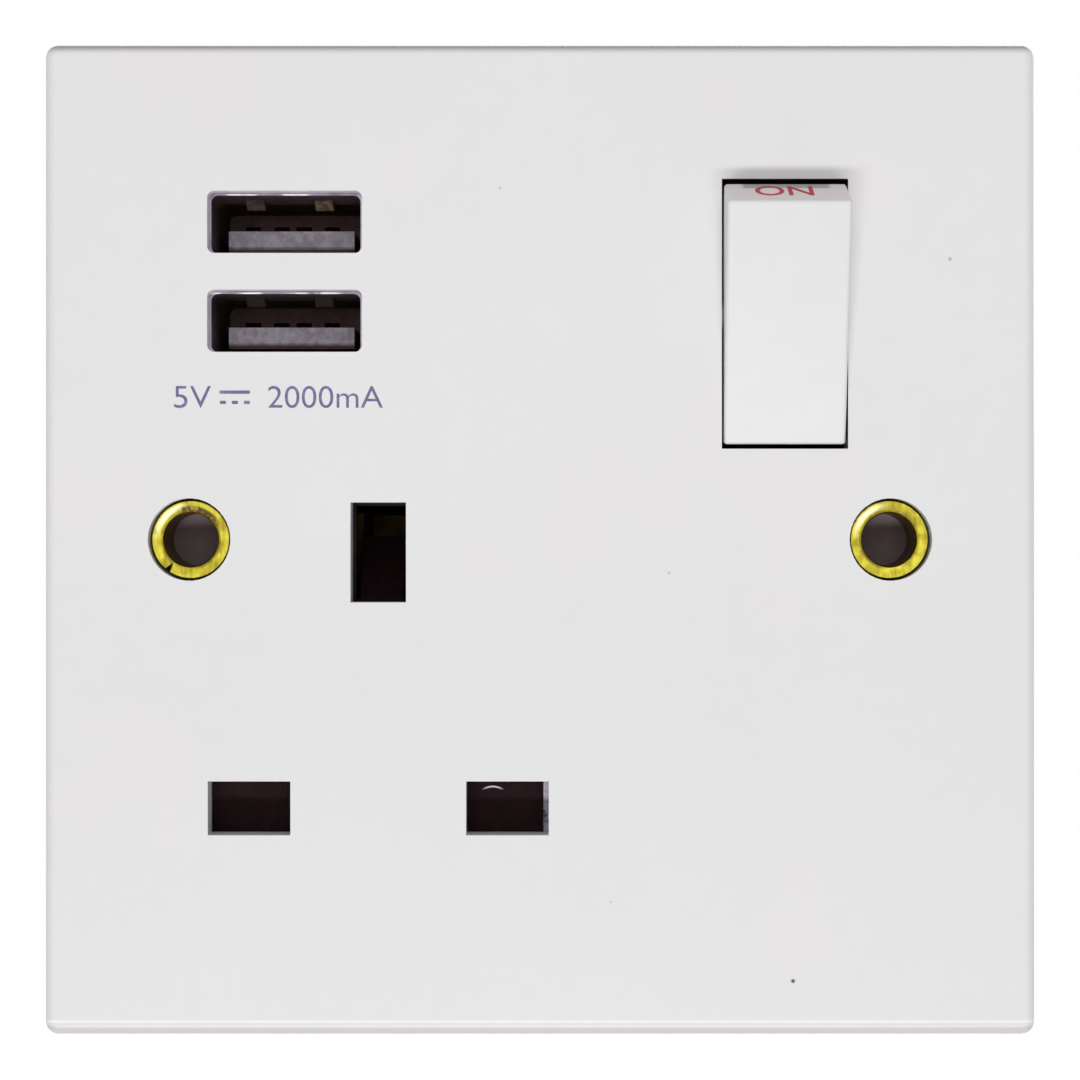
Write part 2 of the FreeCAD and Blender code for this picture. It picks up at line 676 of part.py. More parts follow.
def earth_strap():
    """One stamped strip: a ring round each eyelet, a bar over the earth slot and a leg."""
    strap = body("earth_strap")
    ring = d.eyelet_bore / 2 + d.eyelet_wall + d.strap_ring
    low, high = d.strap_rise, d.strap_rise + d.strap_width
    for side in (-1, 1):
        inner, outer = fixing_x - ring, fixing_x
        start, end = (-outer, -inner) if side < 0 else (inner, outer)
        raise_from(strap, "XZ_Plane", strap_front, rim_plane, circle(fixing_x * side, 0, ring))
        raise_from(strap, "XZ_Plane", strap_front, rim_plane, box(start, 0, end, high))
    raise_from(strap, "XZ_Plane", strap_front, rim_plane,
               box(-fixing_x, low, fixing_x, high))
    hole = d.eyelet_bore / 2 + d.eyelet_wall + d.clearance
    cut_from(strap, "XZ_Plane", strap_front, rim_plane,
             circle(-fixing_x, 0, hole), circle(fixing_x, 0, hole))
    raise_from(strap, "XZ_Plane", strap_front, d.terminal_front + 4.0,
               box(d.earth_terminal_x - d.strip_width / 2, low,
                   d.earth_terminal_x + d.strip_width / 2, low + d.sheet_metal))


def brass_strips():
    """Strips that join the clips, the switch, the terminals and the charger."""
    half = d.strip_width / 2
    web = d.clip_gap / 2 + d.sheet_metal
    # Live: from the fixed tip across, down beside the partition and over to the live clip
    top = d.rocker_z + d.tip_place
    left, right = live_run_x - half, live_run_x + half
    front(
        "live_strip", live_strip_front, live_strip_back,
        [(live_x + web, pins_z - half), (right, pins_z - half), (right, top - half),
         (d.rocker_x + half, top - half), (d.rocker_x + half, top + half),
         (left, top + half), (left, pins_z + half), (live_x + web, pins_z + half)])
    # Neutral: from the neutral clip up to the charger's board
    front("neutral_strip", board_front - d.sheet_metal, board_front,
          box(neutral_run_x - half, pins_z - half, neutral_run_x + half, board_low + 3.0))
    # Charger's live tab: a bent strip from the board to the live strip
    tab = body("module_live_tab")
    low, thick = board_front - d.sheet_metal, d.sheet_metal
    step = live_strip_back
    end = live_run_x + half
    raise_from(tab, "XY_Plane", tab_z - half, tab_z + half,
               [(board_right - 3.5, low + thick), (board_right - 3.5, low),
                (board_right, low), (switch_wall, step), (end, step),
                (end, step + thick), (switch_wall + 0.4, step + thick),
                (board_right + 0.4, low + thick)])


# Switch: rocker, plunger and spring share the rocker's own frame, pivot at its origin

def seat_rocker(made):
    tilt(made, d.rocker_tilt)
    place(made, d.rocker_x, pivot_y, d.rocker_z)


def rocker():
    made = body("rocker")
    half, rise, deep = d.rocker_length / 2, d.rocker_rise, d.rocker_end
    wide = d.rocker_width / 2
    out = half + sine(d.rocker_flare) * deep
    back = cosine(d.rocker_flare) * deep - rise
    block = raise_from(made, "YZ_Plane", -wide, wide,
                       [(-rise, -half), (-rise, half), (back, out), (back, -out)])
    doc.recompute()
    edges = [
        "Edge%d" % (i + 1)
        for i, edge in enumerate(block.Shape.Edges)
        if edge.BoundBox.YMax < -rise.value + 0.01 or edge.BoundBox.YLength > 3.0
    ]
    rounding = made.newObject("PartDesign::Fillet", "FaceRounding")
    rounding.Base = (block, edges)
    bind(rounding, "Radius", d.rocker_edge)
    wall = d.rocker_wall
    cut_from(made, "YZ_Plane", -wide + wall, wide - wall,
             [(-rise + wall, -half + wall), (-rise + wall, half - wall),
              (back, out - wall), (back, -out + wall)])
    tube = d.plunger_radius + d.clearance + d.plunger_tube_wall
    raise_from(made, "XZ_Plane", -rise + wall, d.plunger_tube, circle(0, 0, tube))
    # Cheeks carry the pivot pins
    raise_from(made, "YZ_Plane", -wide, -wide + wall,
               circle(0, 0, d.trunnion_radius * 2))
    raise_from(made, "YZ_Plane", wide - wall, wide,
               circle(0, 0, d.trunnion_radius * 2))
    for start in (-wide - d.trunnion_length, wide):
        raise_from(made, "YZ_Plane", start, start + d.trunnion_length,
                   circle(0, 0, d.trunnion_radius))
    cut_from(made, "XZ_Plane", -rise + wall + 0.4, d.plunger_tube,
             circle(0, 0, d.plunger_radius + d.clearance))
    seat_rocker(made)


def rocker_plunger():
    made = body("rocker_plunger")
    radius = d.plunger_radius
    tip = d.plunger_reach
    start = tip - d.plunger_head - 2.0
    # Drawn from its axis, with the tip at the bottom: a pin with a domed end
    profile = [(0, -start), (radius, -start), (radius, -tip + radius * 0.8),
               (radius * 0.75, -tip + radius * 0.3), (radius * 0.35, -tip), (0, -tip)]
    turn(made, [profile])
    made.Placement.Rotation = FreeCAD.Rotation(
        FreeCAD.Vector(1, 0, 0), 90 + d.rocker_tilt.value)
    bind(made, "Placement.Rotation.Angle", 90 + d.rocker_tilt)
    place(made, d.rocker_x, pivot_y, d.rocker_z)


def coil(label, radius, height, turns):
    """A compression spring of square wire, wound up its own Z from its origin."""
    made = body(label)
    helix = made.newObject("PartDesign::AdditiveHelix", "Coil")
    wire = d.wire_size / 2
    section = drawing(made, "XZ_Plane", 0,
                      [box(radius - wire, 0, radius + wire, d.wire_size)])
    helix.Profile = section
    helix.ReferenceAxis = (section, ["V_Axis"])
    helix.Mode = "height-turns-growth"
    bind(helix, "Height", height - d.wire_size)
    bind(helix, "Turns", turns)
    return made


def rocker_spring():
    """It fills the plunger's tube between the rocker's face and the plunger."""
    start = d.rocker_wall + 0.4 - d.rocker_rise
    end = d.plunger_reach - d.plunger_head - 2.0
    made = coil("rocker_spring", d.plunger_radius - 0.3, end - start, d.rocker_spring_turns)
    tilt(made, d.rocker_tilt - 90)
    place(made, d.rocker_x, pivot_y + cosine(d.rocker_tilt) * start,
          d.rocker_z + sine(d.rocker_tilt) * start)


def shutter_spring():
    """It stands on the guide's post and pushes the shutter up."""
    made = coil("shutter_spring", d.spring_radius, slot_top - spring_low,
                d.shutter_spring_turns)
    reach = d.spring_radius + d.wire_size / 2 + d.clearance * 2
    place(made, d.socket_x, guide_front - reach, spring_low)


def moving_contact():
    made = body("moving_contact")
    arm, fold, thick = d.contact_arm, d.contact_fold, d.sheet_metal
    wide = d.contact_width / 2
    forward, up = sine(fold) * arm, cosine(fold) * arm
    near, far = -thick / 2, thick / 2
    raise_from(made, "YZ_Plane", -wide, wide,
               [(near, 0), (near - forward, up), (far - forward, up), (far, 0),
                (far - forward, -up), (near - forward, -up)])
    # A lug on each side of the bend turns in the bracket's ears
    raise_from(made, "YZ_Plane", -wide - thick, wide + thick,
               circle(0, 0, d.lug_radius))
    cut_from(made, "XZ_Plane", near - 1.0, far + 1.0, circle(0, 0, d.plunger_radius + 0.3))
    tilt(made, -fold)
    place(made, d.rocker_x, lug_y, d.rocker_z)


def contact_tips():
    top = d.rocker_z + d.tip_place
    first = d.contact_front + d.sheet_metal
    front("moving_contact_tip", first, first + d.tip_thick,
          circle(d.rocker_x, top, d.tip_radius))
    front("fixed_contact_tip", live_strip_front - d.tip_thick, live_strip_front,
          circle(d.rocker_x, top, d.tip_radius))


def contact_bracket():
    """The switch's common strip: two ears for the moving contact, then down to its terminal."""
    made = body("contact_bracket")
    thick, half = d.sheet_metal, d.strip_width / 2
    back, start = d.terminal_front, d.terminal_front - d.sheet_metal
    wide = d.contact_width / 2 + d.clearance * 3
    raise_from(made, "XZ_Plane", start, back,
               box(-wide - thick, -2.6, wide + thick, 2.6))
    run = d.live_terminal_x - d.rocker_x
    raise_from(made, "XZ_Plane", start, back,
               box(run - half, d.live_terminal_z - d.rocker_z, run + half, -2.6))
    for left in (-wide - thick, wide):
        raise_from(made, "YZ_Plane", left, left + thick,
                   [(lug_y - 1.6, -1.2), (start, -2.6), (start, 2.6), (lug_y - 1.6, 1.2)])
    cut_from(made, "YZ_Plane", -wide - thick, wide + thick,
             circle(lug_y, 0, d.lug_radius + d.clearance))
    place(made, d.rocker_x, 0, d.rocker_z)


# Shutter: a bar over the live and neutral slots, moved down by the earth pin on its ramp

bar_low = pins_z - d.slot_height / 2 - d.shutter_overlap
bar_high = pins_z + d.slot_height / 2 + d.shutter_overlap
ramp_low = d.earth_z - d.earth_height / 2 + 0.2
spring_low = bar_high + 3.4
slot_top = ramp_low - 3.6


def shutter():
    made = body("shutter")
    left = neutral_x - d.slot_width / 2 - d.shutter_overlap
    right = live_x + d.slot_width / 2 + d.shutter_overlap
    raise_from(made, "XZ_Plane", shutter_front, shutter_back,
               box(left, bar_low, right, bar_high))
    half = d.stem_width / 2
    raise_from(made, "XZ_Plane", shutter_front, shutter_back,
               box(d.socket_x - half, bar_high, d.socket_x + half, ramp_low))
    # The ramp runs back at 45 degrees, as deep as the shutter travels
    ramp = d.ramp_width / 2
    run = d.shutter_stroke
    raise_from(made, "YZ_Plane", d.socket_x - ramp, d.socket_x + ramp,
               [(shutter_front, ramp_low - 3.0), (shutter_front + run, ramp_low - 0.4),
                (shutter_front + run, ramp_low + run), (shutter_front, ramp_low)])
    # A window in the stem holds the return spring
    room = d.spring_radius + d.wire_size / 2 + d.clearance * 3
    cut_from(made, "XZ_Plane", shutter_front, shutter_back,
             box(d.socket_x - room, bar_high + 1.0, d.socket_x + room, slot_top))


def shutter_guide():
    """A plate under the shutter, with windows for the pins, the ramp and the spring's post."""
    left, right = -inner_half + d.clearance, live_x + 10.0
    low, high = pins_z - 8.0, d.strap_rise - 0.3
    wide = inner_waist - d.clearance
    corner = -shelf_z - d.housing_wall - d.clearance
    chamfer = d.housing_chamfer
    made = front("shutter_guide", guide_front, guide_back,
                 [(left + chamfer, low), (right, low), (right, high), (-wide, high),
                  (-wide, corner), (left, corner), (left, low + chamfer)])
    across, tall = d.slot_width / 2 + 0.4, d.slot_height / 2 + 0.4
    cut_from(made, "XZ_Plane", guide_front, guide_back,
             box(live_x - across, pins_z - tall, live_x + across, pins_z + tall),
             box(neutral_x - across, pins_z - tall, neutral_x + across, pins_z + tall))
    ramp = d.ramp_width / 2 + 0.5
    cut_from(made, "XZ_Plane", guide_front, guide_back,
             box(d.socket_x - ramp, ramp_low - d.shutter_stroke - 3.6,
                 d.socket_x + ramp, d.earth_z + d.earth_height / 2 - 0.2))
    # Rails beside the stem, and the post that the spring stands on
    rail = d.stem_width / 2 + d.clearance * 2
    for start in (d.socket_x - rail - d.rib_wall, d.socket_x + rail):
        raise_from(made, "XZ_Plane", shutter_front, guide_front,
                   box(start, bar_high + 0.6, start + d.rib_wall, ramp_low - 2.0))
    raise_from(made, "XZ_Plane", shutter_front + 0.1, guide_front,
               box(d.socket_x - 1.3, spring_low - 1.2, d.socket_x + 1.3, spring_low))
    x, z = PILLARS[2]
    cut_from(made, "XZ_Plane", guide_front, guide_back, circle(x, z, column_radius + 0.1))


# Charger: two receptacles on a board, with the parts of a small power supply behind it

def receptacle(name, middle):
    wall = d.shell_wall * 2
    inner = port_box(middle, d.shell_width, d.shell_height, d.shell_drop, d.port_radius)
    outer = port_box(middle, d.shell_width + wall, d.shell_height + wall, d.shell_drop,
                     d.port_radius + d.shell_wall)
    shell = front("usb_shell_" + name, shell_front, board_front, outer, inner)
    floor_z = middle - d.shell_height / 2 - d.shell_drop
    roof_z = middle + d.shell_height / 2 - d.shell_drop
    # Two spring fingers bow down from the roof
    near, wide = shell_front + d.finger_start, d.finger_width / 2
    for side in (-1, 1):
        x = d.port_x + d.finger_spread * side
        raise_from(shell, "YZ_Plane", x - wide, x + wide,
                   [(near, roof_z), (near + d.finger_length / 3, roof_z - d.finger_bow),
                    (near + d.finger_length, roof_z)])

    block = front("usb_tongue_" + name, block_front, board_front,
                  port_box(middle, d.shell_width - d.clearance, d.shell_height - d.clearance,
                           d.shell_drop, d.port_radius))
    low = floor_z + d.tongue_floor
    high = low + d.tongue_thick
    half = d.tongue_width / 2
    raise_from(block, "YZ_Plane", d.port_x - half, d.port_x + half,
               [(tongue_front, low + d.tongue_chamfer), (tongue_front + d.tongue_chamfer, low),
                (block_front, low), (block_front, high), (tongue_front, high)])
    # Four contacts lie on the tongue and run through the block into the board
    places = [-d.usb_contact_outer, -d.usb_contact_inner, d.usb_contact_inner,
              d.usb_contact_outer]
    wide = d.usb_contact_width / 2
    thick = d.usb_contact_thick
    grooves = [box(d.port_x + x - wide, high - thick, d.port_x + x + wide, high)
               for x in places]
    start = tongue_front + d.usb_contact_start
    cut_from(block, "XZ_Plane", start, board_front, *grooves)
    contacts = front("usb_contacts_" + name, start, board_back, *grooves)
    # Each bows up off the tongue near its end, where a plug presses on it
    for x in places:
        raise_from(contacts, "YZ_Plane", d.port_x + x - wide, d.port_x + x + wide,
                   [(start, high - thick), (start + 0.6, high + d.usb_contact_bow),
                    (start + 1.2, high + d.usb_contact_bow), (start + 2.6, high - thick)])


def charger_board():
    board = front("usb_board", board_front, board_back,
                  box(board_left, board_low, board_right, board_high))
    x, z = PILLARS[0]
    cut_from(board, "XZ_Plane", board_front, board_back,
             box(x - column_radius - 0.3, z - column_radius - 0.3,
                 x + column_radius + 0.3, board_high))
    thick = d.usb_contact_thick
    for _, middle in PORTS:
        high = middle - d.shell_height / 2 - d.shell_drop + d.tongue_floor + d.tongue_thick
        half = d.usb_contact_outer + d.usb_contact_width / 2
        cut_from(board, "XZ_Plane", board_front, board_back,
                 box(d.port_x - half, high - thick, d.port_x + half, high))


# Parts behind the board: how far across it and up it, and how deep into the room behind it,
# each as a share, then the part's own size across
CANS = {
    "input_capacitor": (0.426, 0.290, 0.87, 4.0),
    "output_capacitor": (0.210, 0.242, 0.77, 3.15),
    "filter_choke": (0.105, 0.590, 0.55, 3.0),
}
CHIPS = {
    "bridge_rectifier": (0.351, 0.632, 0.20, 4.8, 3.6),
    "controller_chip": (0.236, 0.632, 0.14, 3.9, 4.7),
    "output_diode": (0.100, 0.780, 0.19, 4.3, 2.6),
}


def charger_parts():
    wide, tall = board_right - board_left, board_high - board_low
    room = floor_inside - board_back
    notch = d.wire_size

    for label, (across, up, deep, radius) in CANS.items():
        x, z = board_left + wide * across, board_low + tall * up
        end = board_back + room * deep
        can = front(label, board_back, end, circle(x, z, radius))
        cut_from(can, "XZ_Plane", end - notch, end,
                 box(x - radius * 0.6, z - notch / 2, x + radius * 0.6, z + notch / 2))
    for label, (across, up, deep, chip_wide, chip_tall) in CHIPS.items():
        x, z = board_left + wide * across, board_low + tall * up
        front(label, board_back, board_back + room * deep,
              box(x, z, x + chip_wide, z + chip_tall))

    # Transformer: a wound bobbin in a square core
    half, rise, leg = d.core_width / 2, d.core_height / 2, d.core_leg
    x, z = board_left + wide * 0.765, board_low + rise + d.core_edge
    core = front("transformer_core", board_back, board_back + room * 0.81,
                 box(x - half, z - rise, x + half, z + rise))
    cut_from(core, "XZ_Plane", board_back, board_back + room * 0.81,
             box(x - half + leg, z - rise + leg * 0.8, x + half - leg, z + rise - leg * 0.8))
    front("transformer_winding", board_back, board_back + room * 0.89,
          circle(x, z, rise - leg * 0.8 - d.clearance * 2))
    fuse = body("module_fuse")
    start = board_left + wide * 0.727
    raise_from(fuse, "YZ_Plane", start, start + d.fuse_length,
               circle(board_back + d.fuse_radius, board_low + tall * 0.725, d.fuse_radius))


face_plate()
for name, side in (("left", -1), ("right", 1)):
    fixing_eyelet("fixing_eyelet_" + name, side)
finish_housing(rear_housing())
for number, (x, z) in enumerate(PILLARS, 1):
    housing_screw("housing_screw_%d" % number, x, z)
pin_clip("live_clip", live_x, pins_z, d.terminal_front, d.clip_gap, d.terminal_size - 2, 0.8)
pin_clip("neutral_clip", neutral_x, pins_z, d.terminal_front, d.clip_gap,
         d.terminal_size - 2, 0.8)
pin_clip("earth_clip", d.socket_x, d.earth_z, d.earth_reach + 1.2, d.clip_gap,
         d.terminal_size - 1, 0.8)
for name, (x, z) in TERMINALS.items():
    terminal(name, x, z)
earth_strap()
brass_strips()
rocker()
rocker_plunger()
rocker_spring()
moving_contact()
contact_tips()
contact_bracket()
shutter()
shutter_guide()
shutter_spring()
for name, middle in PORTS:
    receptacle(name, middle)
charger_board()
charger_parts()
doc.recompute()

# Check every object, then write each sub-part to its own file
faults = [o.Name for o in doc.Objects if "Invalid" in o.State or "Error" in o.State]
if faults:
    raise RuntimeError("failed: " + ", ".join(faults))
os.makedirs("parts", exist_ok=True)
bodies = [o for o in doc.Objects if o.TypeId == "PartDesign::Body"]
for made in bodies:
    shape = made.Shape
    if shape.isNull() or not shape.isValid():
        raise RuntimeError("no valid solid: " + made.Label)
    shape.exportStep("parts/%s.step" % made.Label)
print(len(bodies), "sub-parts written")
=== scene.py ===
# %% [markdown]
# A wall socket with two USB ports, dressed for its portrait. The solid parts come from the CAD
# model, each already in its place. This lesson gives every one of them a finish, adds the
# printing that a CAD model leaves out, and sets up camera and light. Everything is in metres.
# The plate stands upright: its face looks along -Y, and up is +Z.

# %% Load the CAD model
import json
import math

import bpy
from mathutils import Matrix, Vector


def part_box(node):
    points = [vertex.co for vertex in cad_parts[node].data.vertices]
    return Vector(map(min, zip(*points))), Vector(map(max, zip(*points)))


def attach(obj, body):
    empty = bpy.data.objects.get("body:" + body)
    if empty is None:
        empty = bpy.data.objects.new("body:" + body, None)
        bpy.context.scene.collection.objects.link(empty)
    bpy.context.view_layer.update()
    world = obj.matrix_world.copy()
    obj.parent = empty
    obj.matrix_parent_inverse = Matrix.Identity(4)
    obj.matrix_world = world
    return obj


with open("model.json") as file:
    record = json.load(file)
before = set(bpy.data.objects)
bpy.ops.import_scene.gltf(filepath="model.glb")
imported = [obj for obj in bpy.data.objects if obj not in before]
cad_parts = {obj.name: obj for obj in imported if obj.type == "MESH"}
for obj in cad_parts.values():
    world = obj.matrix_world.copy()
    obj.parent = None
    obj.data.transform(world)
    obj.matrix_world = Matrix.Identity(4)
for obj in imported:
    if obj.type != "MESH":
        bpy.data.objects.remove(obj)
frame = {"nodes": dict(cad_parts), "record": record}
bpy.ops.object.select_all(action="DESELECT")
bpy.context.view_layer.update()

# %% [markdown]
# The photograph was taken square on, from about 215 mm away, which shows in how little of the
# holes' side walls can be seen. One millimetre at the plate's face is 11.64 pixels of the 1080
# pixel frame. These few numbers turn any pixel of it into a place on the face.

# %% Places read from the photograph
MM = 0.001
FRAME_PIXELS = 1080
PIXELS_PER_MM = 11.64
PLATE_DROP = 0.04 * MM
FACE_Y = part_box("face_plate")[0].y


def face_x(pixel):
    """How far right of the middle a pixel column lies on the plate's face."""
    return (pixel - FRAME_PIXELS / 2) / PIXELS_PER_MM * MM


def face_z(pixel):
    """How far above the middle a pixel row lies on the plate's face."""
    return (FRAME_PIXELS / 2 - pixel) / PIXELS_PER_MM * MM - PLATE_DROP


print("face at y", FACE_Y, "plate edge at x", face_x(1034))

# %% [markdown]
# The camera is a plain one. Its lens follows from the distance and from the 92.8 mm that the
# frame takes in at the face. It looked from 0.6 mm below the plate's middle, so it is shifted
# up a touch and isn't tilted.

# %% Camera
CAMERA_DISTANCE = 215 * MM
CAMERA_DROP = 0.6 * MM
SENSOR_WIDTH = 36
UPRIGHT = math.radians(90)
frame_width = FRAME_PIXELS / PIXELS_PER_MM * MM
bpy.ops.object.camera_add(
    location=(0, FACE_Y - CAMERA_DISTANCE, -CAMERA_DROP - PLATE_DROP),
    rotation=(UPRIGHT, 0, 0),
)
camera = bpy.context.object
camera.data.sensor_width = SENSOR_WIDTH
camera.data.lens = SENSOR_WIDTH * CAMERA_DISTANCE / frame_width
camera.data.shift_y = CAMERA_DROP / frame_width
camera.data.clip_start = 10 * MM
bpy.context.scene.camera = camera
bpy.context.scene.view_settings.view_transform = "Standard"
print("lens", round(camera.data.lens, 2), "mm")

# %% [markdown]
# Shader sums are easier to read as sums. A Wire is one output of a node, and adding or
# multiplying wires adds the Math node that does it.

# %% Wires that add and multiply
class Wire:
    """One output of a shader node."""

    def __init__(self, maker, socket):
        self.maker, self.socket = maker, socket

    def math(self, operation, first, second=0.0):
        return self.maker.node(
            "ShaderNodeMath", {"operation": operation}, {0: first, 1: second}
        )

    def __add__(self, other):
        return self.math("ADD", self, other)

    def __sub__(self, other):
        return self.math("SUBTRACT", self, other)

    def __rsub__(self, other):
        return self.math("SUBTRACT", other, self)

    def __mul__(self, other):
        return self.math("MULTIPLY", self, other)

    __radd__ = __add__
    __rmul__ = __mul__

    def size(self):
        return self.math("ABSOLUTE", self)

    def root(self):
        return self.math("SQRT", self)

    def ramp(self, low, high):
        """0 below low, 1 above high, smooth between. With low above high it falls instead."""
        return self.maker.node(
            "ShaderNodeMapRange",
            {"interpolation_type": "SMOOTHSTEP"},
            {"Value": self, "From Min": low, "From Max": high},
        )


print("a wire can:", [name for name in vars(Wire) if name[:2] != "__"])

# %% [markdown]
# Every other node comes from one method: its settings go in first, then what feeds its sockets.
# The same method serves the world and every material, so it has a class of its own. It also
# knows which rays come straight from the camera, or by way of something glossy or clear.

# %% Nodes
class NodeMaker:
    """Adds nodes to one shader tree."""

    def __init__(self, tree):
        self.tree = tree

    def node(self, kind, settings=None, sockets=None, out=0):
        made = self.tree.nodes.new(kind)
        for key, value in (settings or {}).items():
            setattr(made, key, value)
        for key, value in (sockets or {}).items():
            self.feed(made, key, value)
        return Wire(self, made.outputs[out])

    def feed(self, node, key, value):
        if isinstance(value, Wire):
            self.tree.links.new(value.socket, node.inputs[key])
        else:
            node.inputs[key].default_value = value

    def looking(self):
        """1 for the rays of someone who looks, 0 for those that only carry light about."""
        rays = [
            self.node("ShaderNodeLightPath", out=f"Is {kind} Ray")
            for kind in ("Camera", "Glossy", "Transmission")
        ]
        return sum(rays).ramp(0.0, 1.0)


print("a node maker can:", [name for name in vars(NodeMaker) if name[:2] != "__"])

# %% [markdown]
# A Finish is one material: a Principled shader, and short words for the patterns that wear and
# moulding leave. All patterns read Object coordinates, so they stay where they are on the
# piece.

# %% Finishes
class Finish(NodeMaker):
    """One material on Object coordinates, built round a Principled shader."""

    def __init__(self, name):
        self.material = bpy.data.materials.new(name)
        self.material.use_nodes = True
        super().__init__(self.material.node_tree)
        self.shader = self.tree.nodes["Principled BSDF"]
        self.place = self.node("ShaderNodeTexCoord", out="Object")

    def wear(self, **sockets):
        """Feeds the shader; an underscore in a name stands for a space."""
        for key, value in sockets.items():
            self.feed(self.shader, key.replace("_", " "), value)
        return self

    def axes(self):
        parts = self.node("ShaderNodeSeparateXYZ", sockets={0: self.place})
        outputs = parts.socket.node.outputs
        return [Wire(self, outputs[i]) for i in range(3)]

    def noise(self, scale, detail, stretch=None):
        place = self.place
        if stretch:
            place = self.node(
                "ShaderNodeMapping", sockets={"Vector": place, "Scale": stretch}
            )
        return self.node(
            "ShaderNodeTexNoise",
            sockets={"Vector": place, "Scale": scale, "Detail": detail},
        )

    def cells(self, scale, settings=None):
        return self.node(
            "ShaderNodeTexVoronoi", settings, {"Vector": self.place, "Scale": scale}
        )

    def mix(self, first, second, mask):
        return self.node(
            "ShaderNodeMix", {"data_type": "RGBA"}, {0: mask, 6: first, 7: second}, 2
        )

    def near(self, point, inner, outer):
        """A round spot: 1 within inner of the point and 0 beyond outer."""
        apart = self.node(
            "ShaderNodeVectorMath", {"operation": "DISTANCE"}, {0: self.place, 1: point}, 1
        )
        return apart.ramp(outer, inner)

    def relief(self, height, depth, strength):
        return self.node(
            "ShaderNodeBump",
            sockets={"Height": height, "Distance": depth, "Strength": strength},
        )


print("a finish can:", [name for name in vars(Finish) if name[:2] != "__"])

# %% [markdown]
# Colours are easiest to judge as a screen shows them, from 0 to 255. The shader counts light
# instead, so paint turns the one into the other.

# %% Paint
def paint(red, green, blue):
    """A colour as a screen shows it, 0 to 255, as the light it stands for."""
    def light(level):
        level /= 255
        return level / 12.92 if level <= 0.04045 else ((level + 0.055) / 1.055) ** 2.4
    return (light(red), light(green), light(blue), 1.0)


print("white plastic is", [round(v, 3) for v in paint(229, 229, 230)])

# %% [markdown]
# A plain stage: a pale floor well below the plate, and a world that the camera, and anything
# glossy, sees as white. For all other light the world is a dimmer grey, which fills the
# shadows. The floor glows a little for the same rays, so that it stays pale and still shows the
# shadow.

# %% Floor
bpy.ops.mesh.primitive_plane_add(size=3.0, location=(0, 0.3, -0.60))
floor = bpy.context.object
floor.name = "floor"
bpy.ops.object.transform_apply(location=True, rotation=True, scale=True)
floor_finish = Finish("pale_floor")
floor_tone = floor_finish.mix(
    paint(240, 240, 241), paint(234, 234, 236), floor_finish.noise(30, 4).ramp(0.4, 0.7)
)
floor_finish.wear(
    Base_Color=floor_tone,
    Roughness=0.8,
    Emission_Color=floor_finish.mix(
        (0, 0, 0, 1), paint(176, 176, 177), floor_finish.looking()
    ),
    Emission_Strength=1.0,
)
floor.data.materials.append(floor_finish.material)
print("floor", tuple(floor.dimensions))

# %% World
FILL_LEVEL = 0.37
world = bpy.data.worlds.new("studio")
bpy.context.scene.world = world
world.use_nodes = True
sky = NodeMaker(world.node_tree)
background = world.node_tree.nodes["Background"]
sky.feed(background, "Color", (1, 1, 1, 1))
sky.feed(background, "Strength", sky.looking() * (1 - FILL_LEVEL) + FILL_LEVEL)
print("fill level", FILL_LEVEL)

# %% [markdown]
# In the photograph the rocker's raised end throws a soft shadow upwards, and a fainter one to
# each side. So the main lamp stands low, about 35 degrees below the plate, and is wide. A
# second one in front keeps the face even. One above grazes the face and lights the rocker's
# upper end, and a wide, dim one behind shows the back when someone walks round.

# %% Lamps
def lamp(name, place, wide, tall, power):
    bpy.ops.object.light_add(type="AREA", location=place)
    made = bpy.context.object
    made.name = name
    made.data.shape = "RECTANGLE"
    made.data.size = wide
    made.data.size_y = tall
    made.data.energy = power
    made.visible_camera = False
    made.rotation_euler = (-made.location).to_track_quat("-Z", "Y").to_euler()
    print(name, power, "W")


lamp("low_lamp", (-0.03, -0.57, -0.39), 0.46, 0.06, 2.60)
lamp("front_lamp", (0.0, -0.62, 0.14), 0.45, 0.30, 0.44)
lamp("top_lamp", (0.0, -0.16, 0.50), 0.40, 0.15, 0.28)
lamp("rear_lamp", (0.25, 0.55, 0.35), 0.9, 0.7, 2.6)

# %% [markdown]
# Through the fixing holes the photograph shows the shaded surface that the socket lies on,
# nearly black. Two small discs behind the holes stand for it. They are part of the stage, and
# they are clear from behind, so they hide nothing of the socket's back.

# %% Shade behind the fixing holes
DISC_RADIUS = 2.8 * MM
DISC_GAP = 0.05 * MM


def clear_where(finish, hidden):
    """Makes a stage finish see-through wherever hidden is 1."""
    solid = Wire(finish, finish.shader.outputs[0])
    air = finish.node("ShaderNodeBsdfTransparent")
    mixed = finish.node("ShaderNodeMixShader", sockets={0: hidden, 1: solid, 2: air})
    finish.feed(finish.tree.nodes["Material Output"], "Surface", mixed)


shade_finish = Finish("shade_behind")
clear_where(shade_finish, shade_finish.node("ShaderNodeNewGeometry", out="Backfacing"))
shade_finish.wear(
    Base_Color=shade_finish.mix(
        paint(136, 124, 128), paint(112, 102, 106), shade_finish.noise(900, 4)
    ),
    Roughness=0.9,
)
for name in ("fixing_eyelet_left", "fixing_eyelet_right"):
    low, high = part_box(name)
    middle = (low + high) / 2
    bpy.ops.mesh.primitive_circle_add(
        vertices=48,
        radius=DISC_RADIUS,
        fill_type="NGON",
        location=(middle.x, high.y + DISC_GAP, middle.z),
        rotation=(UPRIGHT, 0, 0),
    )
    disc = bpy.context.object
    disc.name = "shade_" + name.split("_")[-1]
    bpy.ops.object.transform_apply(location=True, rotation=True, scale=True)
    disc.data.materials.append(shade_finish.material)
    print(disc.name, "behind", name)

